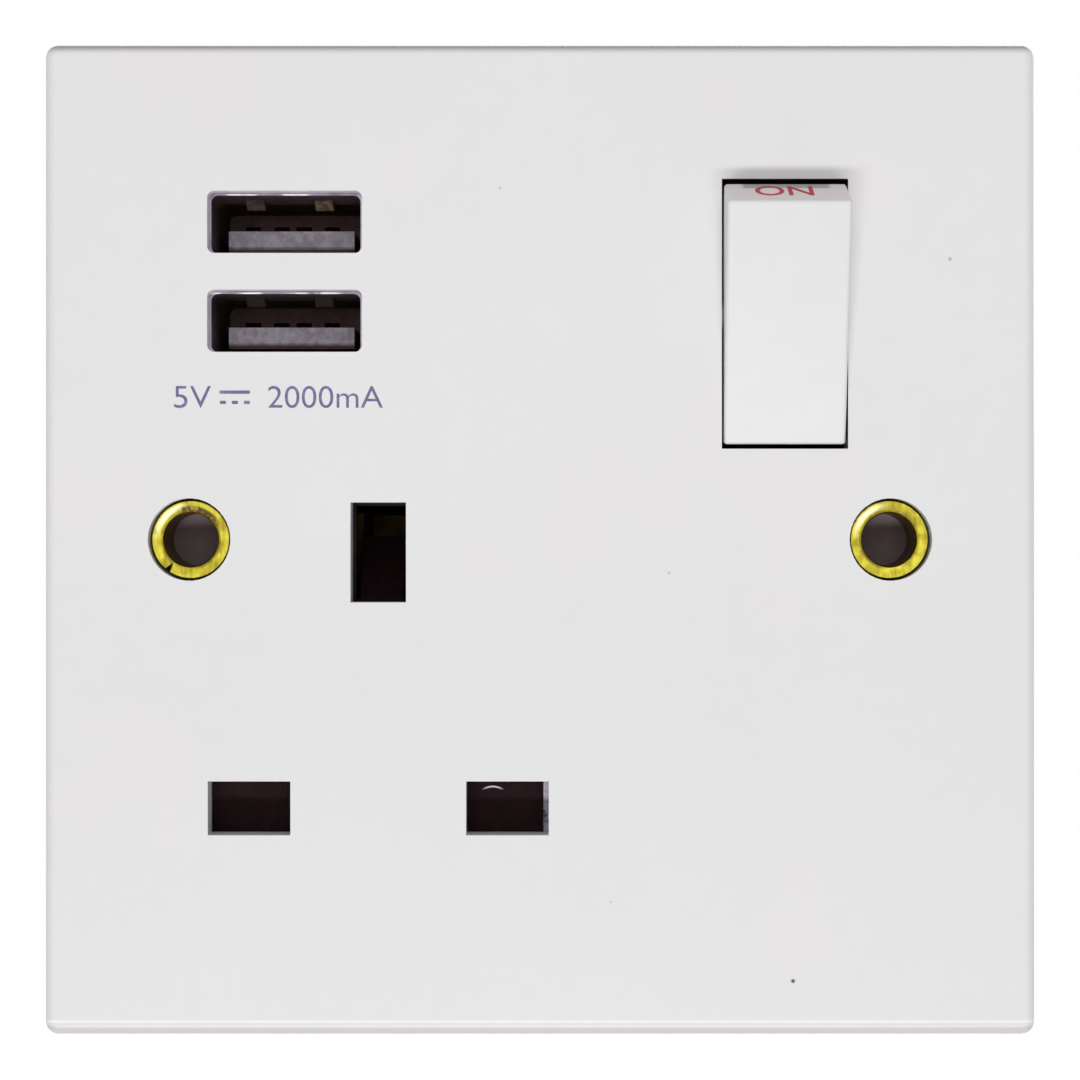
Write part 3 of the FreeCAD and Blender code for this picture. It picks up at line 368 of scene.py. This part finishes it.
# %% [markdown]
# The solids have a fault at the rocker's lower right corner. The rocker's opening reaches past
# the housing's waist, and daylight shows through as a line about 2.7 mm long and 0.4 mm high.
# The photograph is dark there, so a third, black piece of the stage covers the fault. It shows
# to the camera alone, and only from the front: light passes it, and it casts no shadow.

# %% Shade behind the rocker's corner
CORNER_PLACE = (26.6 * MM, 0.3 * MM, 7.75 * MM)
CORNER_SIZE = (4.8 * MM, 2.5 * MM)
corner_finish = Finish("shade_behind_corner")
front = 1 - corner_finish.node("ShaderNodeNewGeometry", out="Backfacing")
straight = corner_finish.node("ShaderNodeLightPath", out="Is Camera Ray")
clear_where(corner_finish, 1 - front * straight)
corner_finish.wear(Base_Color=paint(12, 10, 11), Roughness=0.9)
bpy.ops.mesh.primitive_plane_add(size=1.0, location=CORNER_PLACE, rotation=(UPRIGHT, 0, 0))
corner = bpy.context.object
corner.name = "shade_corner"
corner.scale = (*CORNER_SIZE, 1)
bpy.ops.object.transform_apply(location=True, rotation=True, scale=True)
corner.data.materials.append(corner_finish.material)
print("corner shade", tuple(corner.dimensions))

# %% [markdown]
# The plate and the rocker are white urea moulding: very slightly warm and cool in patches, with
# a fine orange-peel skin. The mottling is two noises of different size, and the skin is two
# much finer ones that only tilt the surface.

# %% Moulded plastic
SKIN_DEPTH = 0.004 * MM


def moulded(name, colour, shade, rough, patch=70):
    """Plastic out of a mould, from one colour to its shade in soft patches."""
    finish = Finish(name)
    patches = finish.noise(patch, 5) * 0.6 + finish.noise(patch * 7, 4) * 0.4
    skin_height = finish.noise(5200, 2) * 0.7 + finish.noise(1400, 2) * 0.3
    finish.colour = finish.mix(colour, shade, patches.ramp(0.3, 0.7))
    finish.wear(
        Base_Color=finish.colour,
        Roughness=patches * 0.14 + (rough - 0.07),
        Normal=finish.relief(skin_height, SKIN_DEPTH, 0.5),
        Specular_IOR_Level=0.45,
    )
    return finish


print("moulded skin", SKIN_DEPTH / MM, "mm deep")

# %% [markdown]
# All that shows of the inside is nearly black, so the rear moulding and the guide are taken to
# be dark plastic. The housing's outside, which lies beyond its inner walls, is lighter, and a
# thin coat gives it its gloss.

# %% Dark plastics and the plunger's
finishes = {}
housing = moulded("housing_plastic", paint(34, 30, 31), paint(27, 24, 25), 0.6)
across, depth, height = housing.axes()
housing_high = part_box("rear_housing")[1]
side_edge = housing_high.x - 0.1 * MM
sides = across.size().ramp(side_edge, side_edge + 0.05 * MM) + height.size().ramp(
    side_edge, side_edge + 0.05 * MM
)
back = depth.ramp(housing_high.y - 0.1 * MM, housing_high.y - 0.05 * MM)
outside = (back + sides).ramp(0.0, 1.0)
housing.wear(
    Base_Color=housing.mix(housing.colour, paint(58, 55, 57), outside),
    Coat_Weight=outside * 0.4,
    Coat_Roughness=0.35,
    Specular_IOR_Level=0.03,
)
finishes["housing_plastic"] = housing
finishes["guide_plastic"] = moulded(
    "guide_plastic", paint(32, 26, 28), paint(26, 21, 23), 0.55
).wear(Specular_IOR_Level=0.2)
finishes["plunger_plastic"] = moulded(
    "plunger_plastic", paint(222, 220, 212), paint(211, 208, 198), 0.35
)
print("moulded finishes:", sorted(finishes))

# %% [markdown]
# The plate carries the few marks that the photograph shows: a dark fleck near the bottom edge,
# and four faint ones. Each is a small round spot at its place on the face.

# %% Flecks on the plate
# Pixel column and row, radius in millimetres, colour
FLECKS = [
    (793, 981, 0.16, (70, 66, 72)),
    (950, 259, 0.14, (196, 168, 172)),
    (669, 573, 0.12, (204, 196, 204)),
    (500, 188, 0.12, (200, 196, 206)),
    (611, 902, 0.10, (206, 202, 206)),
]
plate = moulded("plate_plastic", paint(230, 229, 229), paint(228, 227, 228), 0.38)
across, depth, height = plate.axes()
tone = plate.mix(plate.colour, paint(232, 226, 229), plate.noise(60, 4).ramp(0.5, 0.7) * 0.6)
# Painted light: the face is painted a touch lighter towards the top, to even out the lamps,
# whose light is weaker there.
tone = plate.mix(tone, paint(238, 238, 238), height.ramp(-44 * MM, 44 * MM) * 0.25)
for column, row, radius, colour in FLECKS:
    spot = plate.near(
        (face_x(column), FACE_Y, face_z(row)), radius * 0.5 * MM, radius * 1.6 * MM
    )
    tone = plate.mix(tone, paint(*colour), spot)
print("flecks:", len(FLECKS))

# %% [markdown]
# A bright line is painted above the plate's lower edge, a painted highlight. That edge is
# painted a little greyer, and so is the upper one, most of all on its bevel: painted shade.
# Round the rocker the plate's own walls are painted near black, as painted shade.

# %% Edges of the plate
HIGHLIGHT_LINE_Z = -41.40 * MM
# Painted shade on both edges, darkest on the upper bevel.
lower_edge_shade = height.ramp(-41.6 * MM, -42.0 * MM)
upper_edge_shade = height.ramp(41.8 * MM, 42.6 * MM)
upper_bevel_shade = upper_edge_shade * depth.ramp(FACE_Y + 1.2 * MM, FACE_Y + 0.8 * MM)
# A painted highlight: a bright line just above the lower edge.
painted_highlight_line = (height - HIGHLIGHT_LINE_Z).size().ramp(0.16 * MM, 0.04 * MM)
rocker_low, rocker_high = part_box("rocker")
rocker_middle = (rocker_low + rocker_high) / 2
beside = (across - rocker_middle.x).size().ramp(7.9 * MM, 7.5 * MM)
level_with = (height - rocker_middle.z).size().ramp(13.4 * MM, 12.8 * MM)
sunk = (depth - FACE_Y).ramp(0.05 * MM, 0.3 * MM)
tone = plate.mix(tone, paint(255, 254, 254), painted_highlight_line * 0.6)
tone = plate.mix(tone, paint(206, 201, 203), lower_edge_shade)
tone = plate.mix(tone, paint(206, 203, 205), upper_edge_shade)
tone = plate.mix(tone, paint(152, 148, 150), upper_bevel_shade)
# Painted shade: the plate's walls round the rocker, sunk behind the face, are painted near
# black.
plate.wear(
    Base_Color=plate.mix(tone, paint(40, 35, 39), beside * level_with * sunk),
    Coat_Weight=0.3 - lower_edge_shade * 0.3,
    Coat_Roughness=0.12,
)
finishes["plate_plastic"] = plate
print("rocker's middle", tuple(rocker_middle))

# %% [markdown]
# The rocker's face is of the same white. Its upper end face is shown at a slant. It is painted a
# lighter, pinkish white, painted light that makes up for the little lamp light it gets, with a
# darker grey band along its rear edge. It is the only surface of the rocker that looks upwards,
# so the normal's Z finds it.

# %% Rocker
rocker = moulded("rocker_plastic", paint(230, 229, 229), paint(227, 226, 227), 0.36)
across, depth, height = rocker.axes()
normal = rocker.node("ShaderNodeNewGeometry", out="True Normal")
upward = rocker.node("ShaderNodeSeparateXYZ", sockets={0: normal}, out="Z").ramp(0.6, 0.8)
high_end = height.ramp(28.0 * MM, 28.3 * MM)
front_end = depth.ramp(FACE_Y + 0.6 * MM, FACE_Y + 0.2 * MM)
band = (
    depth.ramp(FACE_Y - 1.5 * MM, FACE_Y - 1.3 * MM)
    * (across - rocker_middle.x).size().ramp(3.9 * MM, 3.5 * MM)
)
# Painted light: the upward end face is painted a lighter, pinkish white.
end_face_light = upward * high_end * front_end
tone = rocker.mix(rocker.colour, paint(240, 233, 232), end_face_light)
tone = rocker.mix(tone, paint(178, 178, 176), end_face_light * band)
rocker.wear(Base_Color=tone)
finishes["rocker_plastic"] = rocker
print("rocker from", tuple(rocker_low), "to", tuple(rocker_high))

# %% [markdown]
# The shutter behind the pin slots is a dark, dull plastic, scuffed lighter where pins rub it.
# The photograph shows two pale marks on it in the right slot: a short arc near the top, which is
# part of a ring, and a strip along the right edge. Both are painted highlights: the arc where
# the ring's upper edge catches the light, and the strip where the slot's wall is lit.

# %% Shutter
RING_X, RING_Z, RING_RADIUS = -4.13 * MM, -23.13 * MM, 1.5 * MM
shutter = moulded("shutter_plastic", paint(44, 26, 29), paint(31, 18, 21), 0.6, patch=260)
across, _, height = shutter.axes()
scuff = shutter.noise(900, 4, (6.0, 1.0, 1.0)).ramp(0.6, 0.72)
tone = shutter.mix(shutter.colour, paint(58, 44, 48), scuff * 0.4)
dx, dz = across - RING_X, height - RING_Z
ring = ((dx * dx + dz * dz).root() - RING_RADIUS).size()
# Painted highlight: the upper part of a ring, where its edge catches the light.
arc_highlight = ring.ramp(0.11 * MM, 0.02 * MM) * height.ramp(-21.95 * MM, -21.66 * MM)
# Painted light along the right edge, where the slot's wall is lit.
lit_edge_strip = across.ramp(0.26 * MM, 0.36 * MM) * shutter.noise(1500, 4).ramp(0.2, 0.55)
tone = shutter.mix(tone, paint(236, 226, 236), arc_highlight)
shutter.wear(
    Base_Color=shutter.mix(tone, paint(232, 222, 240), lit_edge_strip * 0.9),
    Specular_IOR_Level=0.05,
)
finishes["shutter_plastic"] = shutter
print("shutter finish made")

# %% [markdown]
# Metals here are sheet brass, turned brass, steel and a few more. What makes each look real is
# uneven polish: streaks along the rolling direction, and a mild tarnish in patches. One
# function makes them all from a few numbers.

# %% Metals
TARNISH = 0.5


def metal(name, bright, dull, rough, streak=(1.0, 1.0, 14.0), patch=120):
    """A metal from bright to dull in patches, streaked along one axis."""
    finish = Finish(name)
    patches = finish.noise(patch, 6).ramp(0.42, 0.68)
    streaks = finish.noise(1500, 3, streak)
    finish.colour = finish.mix(bright, dull, patches * TARNISH + streaks * 0.25)
    finish.wear(
        Base_Color=finish.colour,
        Metallic=1.0 - patches * TARNISH * 0.25,
        Roughness=patches * 0.18 + streaks * 0.12 + rough,
        Normal=finish.relief(streaks, 0.003 * MM, 0.4),
    )
    return finish


# The sheet brass is dull and dark brown, and darker still as painted shade, so that the clips
# seen through the pin slots stay as dark as the slots.
finishes["strip_brass"] = metal(
    "strip_brass", paint(104, 82, 52), paint(66, 50, 34), 0.5
)
finishes["terminal_brass"] = metal(
    "terminal_brass", paint(214, 182, 112), paint(168, 132, 72), 0.3, (1.0, 10.0, 1.0), 220
)
finishes["screw_steel"] = metal(
    "screw_steel", paint(206, 206, 204), paint(160, 160, 160), 0.26, (1.0, 8.0, 1.0), 300
)
finishes["spring_steel"] = metal(
    "spring_steel", paint(190, 190, 192), paint(140, 140, 144), 0.3, patch=400
)
finishes["silver_tip"] = metal(
    "silver_tip", paint(230, 230, 228), paint(186, 184, 180), 0.22, patch=500
)
# Painted shade: the gold contacts are painted near black, as they lie deep in the ports.
finishes["contact_gold"] = metal(
    "contact_gold", paint(40, 30, 24), paint(20, 15, 12), 0.5, (1.0, 12.0, 1.0), 400
)
finishes["can_aluminium"] = metal(
    "can_aluminium", paint(214, 216, 220), paint(178, 180, 186), 0.32, (8.0, 1.0, 1.0), 200
)
print("finishes so far:", len(finishes))

# %% [markdown]
# A USB receptacle is a folded steel shell round a plastic tongue. In the photograph only the
# shell's front lip is bright. Deeper in, the steel is painted brown black and the plastic a
# darker brown, both painted shade, apart from the two spring fingers in the roof, which get a
# painted yellowish light, and the tongue's front edge, painted light in a dusty lavender grey.
# Depth behind the face, read from the Y axis, tells them apart.

# %% Receptacle measures
ROOF_BELOW_TOP = 0.8 * MM
LIP_BELOW_TOP = 0.3 * MM
FINGER_SPREAD = 3.0 * MM
BOW_DEPTH = 4.0 * MM
shell_low, shell_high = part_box("usb_shell_upper")
tongue_low, tongue_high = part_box("usb_tongue_upper")
port_x = (shell_low.x + shell_high.x) / 2
tops = [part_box(name)[1].z for name in ("usb_shell_upper", "usb_shell_lower")]
roofs = [top - ROOF_BELOW_TOP for top in tops]
print("receptacle front lip at y", shell_low.y, "tongue end at y", tongue_low.y)

# %% [markdown]
# A painted glint lies in places along the lip's upper side. Deeper in, the shell is painted
# brown black, painted shade, and the fingers get a painted yellowish light. They are found by
# their distance from the port's middle, from the roof and from the place where they bow lowest.
# The upper port gets much more of that painted light than the lower one, whose roof is painted
# darker still.

# %% Shell
shell = metal("shell_steel", paint(150, 141, 156), paint(96, 85, 100), 0.3, (1.0, 9.0, 1.0), 520)
across, depth, height = shell.axes()
lip = depth.ramp(shell_low.y + 0.3 * MM, shell_low.y + 0.1 * MM)
deep = depth.ramp(shell_low.y + 0.35 * MM, shell_low.y + 1.1 * MM)
# A painted glint along each lip's upper side.
painted_glint = sum(
    (height - (top - LIP_BELOW_TOP)).size().ramp(0.10 * MM, 0.02 * MM) for top in tops
)
painted_glint = painted_glint * shell.noise(420, 3).ramp(0.44, 0.64) * lip
# Painted light on the roof fingers, stronger on the right one and in the upper port.
fingers = sum(
    (across - (port_x + side * FINGER_SPREAD)).size().ramp(0.85 * MM, 0.65 * MM) * strength
    for side, strength in ((-1, 0.12), (1, 0.4))
)
painted_roof_light = sum(
    (height - roof).size().ramp(0.42 * MM, 0.32 * MM) * strength
    for roof, strength in zip(roofs, (1.0, 0.12))
)
bowed = (depth - (shell_low.y + BOW_DEPTH)).size().ramp(2.0 * MM, 1.2 * MM)
lower_roof_shade = (height - roofs[1]).size().ramp(0.9 * MM, 0.7 * MM) * bowed
speckle = shell.noise(1800, 4).ramp(0.4, 0.62)
# Painted shade deep in the shell, with painted light on the fingers and darker painted shade
# under the lower port's roof.
inside = shell.mix(paint(52, 38, 38), paint(68, 52, 51), speckle)
inside = shell.mix(
    inside, paint(158, 140, 100), fingers * painted_roof_light * bowed * (speckle * 0.7 + 0.3)
)
inside = shell.mix(inside, paint(34, 24, 24), lower_roof_shade * 0.7)
shell.wear(
    Base_Color=shell.mix(shell.mix(shell.colour, paint(250, 246, 250), painted_glint), inside, deep),
    Metallic=1.0 - deep * 0.75 - painted_glint * 0.5,
    Roughness=deep * 0.3 + 0.3,
)
finishes["shell_steel"] = shell
print("roofs at z", roofs)

# %% [markdown]
# The tongue's body is painted a darker pinkish brown, painted shade for the depth of the port.
# Its front edge is painted a pale lavender grey, partly painted light where light reaches it and
# partly dust, which the mottling gives.

# %% Tongue
# Painted shade: the body's darker pinkish brown stands for the depth of the port.
tongue = moulded("tongue_plastic", paint(156, 122, 118), paint(130, 103, 101), 0.5, patch=300)
depth = tongue.axes()[1]
# Painted light on the front edge, mottled as with dust.
lit_front_edge = depth.ramp(tongue_low.y + 0.25 * MM, tongue_low.y + 0.1 * MM)
dust = tongue.noise(1500, 5).ramp(0.35, 0.65)
dusty_painted_light = tongue.mix(paint(228, 220, 232), paint(192, 184, 202), dust)
tongue.wear(
    Base_Color=tongue.mix(tongue.colour, dusty_painted_light, lit_front_edge),
    Specular_IOR_Level=0.15,
)
finishes["tongue_plastic"] = tongue
print("tongue from", tuple(tongue_low), "to", tuple(tongue_high))

# %% [markdown]
# The two eyelets are drawn brass, strong yellow, browned where the flange meets the plate and at
# the lip of the bore. The left one is stained between eleven and two o'clock. Both have a
# painted highlight, a pale arc at ten o'clock. Distance from the hole's middle gives the rings,
# and the angle round it gives the arcs.

# %% Eyelets
HIGHLIGHT_ANGLE, HIGHLIGHT_RADIUS = 2.35, 2.95 * MM
STAIN_ANGLE, STAIN_RADIUS = 1.25, 2.58 * MM


def eyelet(name, node_name, stain):
    """Drawn brass for one eyelet. A stain of 1 is the full one, and 0 is none."""
    low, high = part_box(node_name)
    middle = (low + high) / 2
    finish = Finish(name)
    across, _, height = finish.axes()
    dx, dz = across - middle.x, height - middle.z
    radius = (dx * dx + dz * dz).root()
    angle = dz.math("ARCTAN2", dz, dx)
    mottle = finish.noise(1100, 5)
    scratches = finish.noise(3200, 2, (1.0, 1.0, 0.2)).ramp(0.42, 0.62)
    worn = mottle.ramp(0.40, 0.60) * 0.6 + scratches * 0.4
    colour = finish.mix(paint(206, 194, 62), paint(152, 138, 36), worn)
    # A painted highlight: a pale arc at ten o'clock.
    highlight_arc = (angle - HIGHLIGHT_ANGLE).size().ramp(0.85, 0.1) * (
        radius - HIGHLIGHT_RADIUS
    ).size().ramp(0.36 * MM, 0.05 * MM)
    colour = finish.mix(colour, paint(255, 253, 196), highlight_arc)
    ragged = radius + (mottle - 0.5) * (0.35 * MM)
    inner = ragged.ramp(2.46 * MM, 2.34 * MM)
    outer = ragged.ramp(3.32 * MM, 3.42 * MM)
    colour = finish.mix(colour, paint(96, 58, 14), inner * 0.9)
    colour = finish.mix(colour, paint(112, 72, 34), outer)
    grains = finish.noise(3000, 5).ramp(0.34, 0.56)
    patch = (angle - STAIN_ANGLE).size().ramp(0.95, 0.5) * (
        radius - STAIN_RADIUS
    ).size().ramp(0.46 * MM, 0.20 * MM)
    stained = patch * (grains * 0.6 + 0.4) * stain
    colour = finish.mix(colour, paint(84, 58, 16), stained)
    finish.wear(
        Base_Color=colour,
        Metallic=0.8 - stained * 0.5,
        Roughness=mottle * 0.1 + stained * 0.3 + 0.28,
        Normal=finish.relief(mottle, 0.006 * MM, 0.5),
    )
    return finish


eyelet_finishes = {
    "fixing_eyelet_left": eyelet("eyelet_brass_left", "fixing_eyelet_left", 1.0),
    "fixing_eyelet_right": eyelet("eyelet_brass_right", "fixing_eyelet_right", 0.25),
}
print("eyelet finishes:", list(eyelet_finishes))

# %% [markdown]
# Inside are the charger's parts. The board is green lacquer over copper tracks, the chips are
# dull black resin with a fine grit, the core is pressed ferrite, and the winding is wrapped in
# yellow tape, whose turns overlap in steps.

# %% Board
TRACKS_PER_METRE = 420
board = Finish("board_green")
tracks = board.cells(TRACKS_PER_METRE, {"feature": "DISTANCE_TO_EDGE"}).ramp(0.10, 0.14)
lacquer = board.mix(paint(38, 96, 52), paint(24, 72, 38), tracks)
board.wear(
    Base_Color=board.mix(lacquer, paint(50, 110, 62), board.noise(160, 4).ramp(0.5, 0.7)),
    Roughness=board.noise(300, 3) * 0.2 + 0.25,
    Normal=board.relief(1 - tracks, 0.03 * MM, 0.6),
)
finishes["board_green"] = board
print("board tracks", 1 / TRACKS_PER_METRE / MM, "mm apart")

# %% Chips, core and winding
resin = Finish("part_black")
grit = resin.noise(6000, 2)
resin.wear(
    Base_Color=resin.mix(paint(34, 34, 36), paint(52, 52, 54), resin.noise(420, 4)),
    Roughness=grit * 0.3 + 0.4,
    Normal=resin.relief(grit, 0.01 * MM, 0.7),
)
finishes["part_black"] = resin

ferrite = Finish("ferrite")
pores = ferrite.cells(1800).ramp(0.1, 0.4)
ferrite.wear(
    Base_Color=ferrite.mix(paint(52, 52, 56), paint(84, 84, 88), pores),
    Roughness=pores * 0.2 + 0.45,
    Normal=ferrite.relief(pores, 0.02 * MM, 0.5),
)
finishes["ferrite"] = ferrite

TURNS_PER_METRE = 420
tape = Finish("winding_tape")
turns = tape.axes()[2] * TURNS_PER_METRE
turn_steps = turns.math("FRACT", turns)
tape.wear(
    Base_Color=tape.mix(
        paint(226, 202, 84), paint(198, 168, 52), turn_steps.ramp(0.0, 0.25)
    ),
    Roughness=tape.noise(500, 3) * 0.2 + 0.2,
    Normal=tape.relief(turn_steps, 0.05 * MM, 0.6),
)
finishes["winding_tape"] = tape
print("finishes:", len(finishes))

# %% [markdown]
# The record names a material slot for each node, so each node takes the finish of its slot. The
# eyelets have one each, because only the left one is stained.

# %% Dress the CAD nodes
for part in frame["record"]["subparts"]:
    node = frame["nodes"][part["node"]]
    finish = eyelet_finishes.get(part["node"]) or finishes[part["material_slot"]]
    node.data.materials.clear()
    node.data.materials.append(finish.material)

# %% [markdown]
# Printing is real ink, a few hundredths of a millimetre proud of the plate. Letters start as a
# text object, which is given a little thickness, turned into a mesh, and then stretched to the
# size and moved to the place that was measured. Letters print thinner or thicker than a font
# draws them, so an offset fattens or thins their strokes.

# %% Letters
def lettering(name, words, low_left, width, height, lean, thick, fatten):
    """Words as thin mesh letters, by their lower left corner. lean turns them about X."""
    bpy.ops.object.text_add(location=(0, 0, 0))
    letters = bpy.context.object
    letters.name = name
    letters.data.body = words
    letters.data.extrude = 0.02
    letters.data.offset = fatten
    bpy.ops.object.convert(target="MESH")
    letters = bpy.context.object
    corners = [Vector(c) for c in letters.bound_box]
    low = Vector(min(c[i] for c in corners) for i in range(3))
    high = Vector(max(c[i] for c in corners) for i in range(3))
    bpy.ops.object.mode_set(mode="EDIT")
    bpy.ops.mesh.select_all(action="SELECT")
    bpy.ops.mesh.remove_doubles(threshold=0.0005)
    bpy.ops.transform.translate(value=-low)
    bpy.ops.transform.resize(
        value=(
            width / (high.x - low.x),
            height / (high.y - low.y),
            thick / (high.z - low.z),
        ),
        center_override=(0, 0, 0),
    )
    bpy.ops.object.mode_set(mode="OBJECT")
    letters.rotation_euler = (lean, 0, 0)
    letters.location = low_left
    bpy.ops.object.transform_apply(location=True, rotation=True, scale=True)
    bpy.ops.object.select_all(action="DESELECT")
    print(name, "has", len(letters.data.polygons), "faces")
    return letters


print("fonts before the first letters:", len(bpy.data.fonts))

# %% Ink
def inked(name, colour, worn):
    """Printing ink, thin in places so that the plastic shows through a little."""
    finish = Finish(name)
    thin = finish.noise(2400, 4).ramp(0.45, 0.75)
    finish.wear(
        Base_Color=finish.mix(colour, worn, thin * 0.6),
        Roughness=finish.noise(900, 3) * 0.2 + 0.45,
        Normal=finish.relief(thin, 0.004 * MM, 0.5),
    )
    return finish


INK = 0.02 * MM
violet_ink = inked("violet_ink", paint(104, 100, 142), paint(150, 146, 176))
red_ink = inked("red_ink", paint(186, 28, 50), paint(204, 72, 88))
print("ink is", INK / MM, "mm thick")

# %% [markdown]
# Under the ports stands their rating: the voltage, the sign for direct current, and the
# current. It is the plain rating that any such charger carries.

# %% Rating under the ports
base_row, top_row = 408, 386
rating_height = face_z(top_row) - face_z(base_row)
for name, words, left, right in (
    ("rating_volts", "5V", 174, 211),
    ("rating_current", "2000mA", 268, 383),
):
    piece = lettering(
        name,
        words,
        (face_x(left), FACE_Y + INK / 4, face_z(base_row)),
        face_x(right) - face_x(left),
        rating_height,
        UPRIGHT,
        INK,
        fatten=-0.004,
    )
    piece.data.materials.append(violet_ink.material)
    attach(piece, "housing")

# %% [markdown]
# The direct-current sign is a bar over three dashes. A dash is a plane, its corners rounded,
# and given the ink's thickness. One is modelled, and the other two are copies of it, each with
# its own mesh. The bar is made in the same way as the first one.

# %% Bar and dash
CORNER_ROUNDING = 0.08 * MM


def dash(name, left, right, top, bottom):
    """A flat piece of ink between two pixel columns and two pixel rows."""
    bpy.ops.mesh.primitive_plane_add(size=1.0, location=(0, 0, 0))
    made = bpy.context.object
    made.name = name
    made.scale = (face_x(right) - face_x(left), face_z(top) - face_z(bottom), 1)
    bpy.ops.object.transform_apply(location=True, rotation=True, scale=True)
    bpy.ops.object.mode_set(mode="EDIT")
    bpy.ops.mesh.select_all(action="SELECT")
    bpy.ops.mesh.bevel(offset=CORNER_ROUNDING, segments=3, affect="VERTICES")
    bpy.ops.mesh.select_all(action="SELECT")
    bpy.ops.mesh.extrude_region_move(TRANSFORM_OT_translate={"value": (0, 0, INK)})
    bpy.ops.mesh.select_all(action="SELECT")
    bpy.ops.mesh.normals_make_consistent(inside=False)
    bpy.ops.object.mode_set(mode="OBJECT")
    made.rotation_euler = (UPRIGHT, 0, 0)
    made.location = (
        (face_x(left) + face_x(right)) / 2,
        FACE_Y + INK / 4,
        (face_z(top) + face_z(bottom)) / 2,
    )
    bpy.ops.object.transform_apply(location=True, rotation=True, scale=True)
    made.data.materials.append(violet_ink.material)
    bpy.ops.object.select_all(action="DESELECT")
    return made


current_bar = dash("current_sign_bar", 219.5, 250, 390.5, 393.8)
first_dash = dash("current_sign_dash_1", 219.8, 226, 400.8, 404)
print("bar", tuple(current_bar.dimensions), "dash", tuple(first_dash.dimensions))

# %% The other two dashes
DASH_STEP = face_x(231.8) - face_x(219.8)


def copy_beside(piece, name, shift):
    """A copy with its own mesh, moved to the right."""
    made = piece.copy()
    made.data = piece.data.copy()
    made.name = name
    bpy.context.collection.objects.link(made)
    bpy.ops.object.select_all(action="DESELECT")
    made.select_set(True)
    bpy.context.view_layer.objects.active = made
    made.location.x += shift
    bpy.ops.object.transform_apply(location=True, rotation=True, scale=True)
    bpy.ops.object.select_all(action="DESELECT")
    return made


sign = [current_bar, first_dash]
for number in (2, 3):
    sign.append(
        copy_beside(first_dash, f"current_sign_dash_{number}", DASH_STEP * (number - 1))
    )
for piece in sign:
    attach(piece, "housing")
print("direct-current sign:", [piece.name for piece in sign])

# %% [markdown]
# The rocker's upper end face says ON in red, because it shows only when the switch is on. The
# end face leans, so the letters lean with it: its slope is read off the rocker's own corners.

# %% Slope of the end face
rocker_mesh = frame["nodes"]["rocker"].data
top_points = [v.co for v in rocker_mesh.vertices if v.co.z > 28.6 * MM and v.co.y < FACE_Y]
front_top = min(top_points, key=lambda p: p.y)
rear_top = max(
    (p for p in top_points if p.y < FACE_Y + 0.1 * MM), key=lambda p: (p.z, p.y)
)
slope = math.atan2(rear_top.z - front_top.z, rear_top.y - front_top.y)
along = Vector((0, math.cos(slope), math.sin(slope)))
out = Vector((0, -math.sin(slope), math.cos(slope)))
print("end face leans", round(math.degrees(slope), 1), "degrees")

# %% Mark on the rocker
MARK_LEFT, MARK_FROM_FRONT = 18.3 * MM, 1.15 * MM
MARK_WIDTH, MARK_HEIGHT = 4.95 * MM, 2.75 * MM
start = Vector((MARK_LEFT, front_top.y, front_top.z)) + along * MARK_FROM_FRONT - out * (INK / 4)
on_mark = lettering(
    "on_mark",
    "ON",
    start,
    MARK_WIDTH,
    MARK_HEIGHT,
    slope,
    INK,
    fatten=0.010,
)
on_mark.data.materials.append(red_ink.material)
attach(on_mark, "rocker")

# %% [markdown]
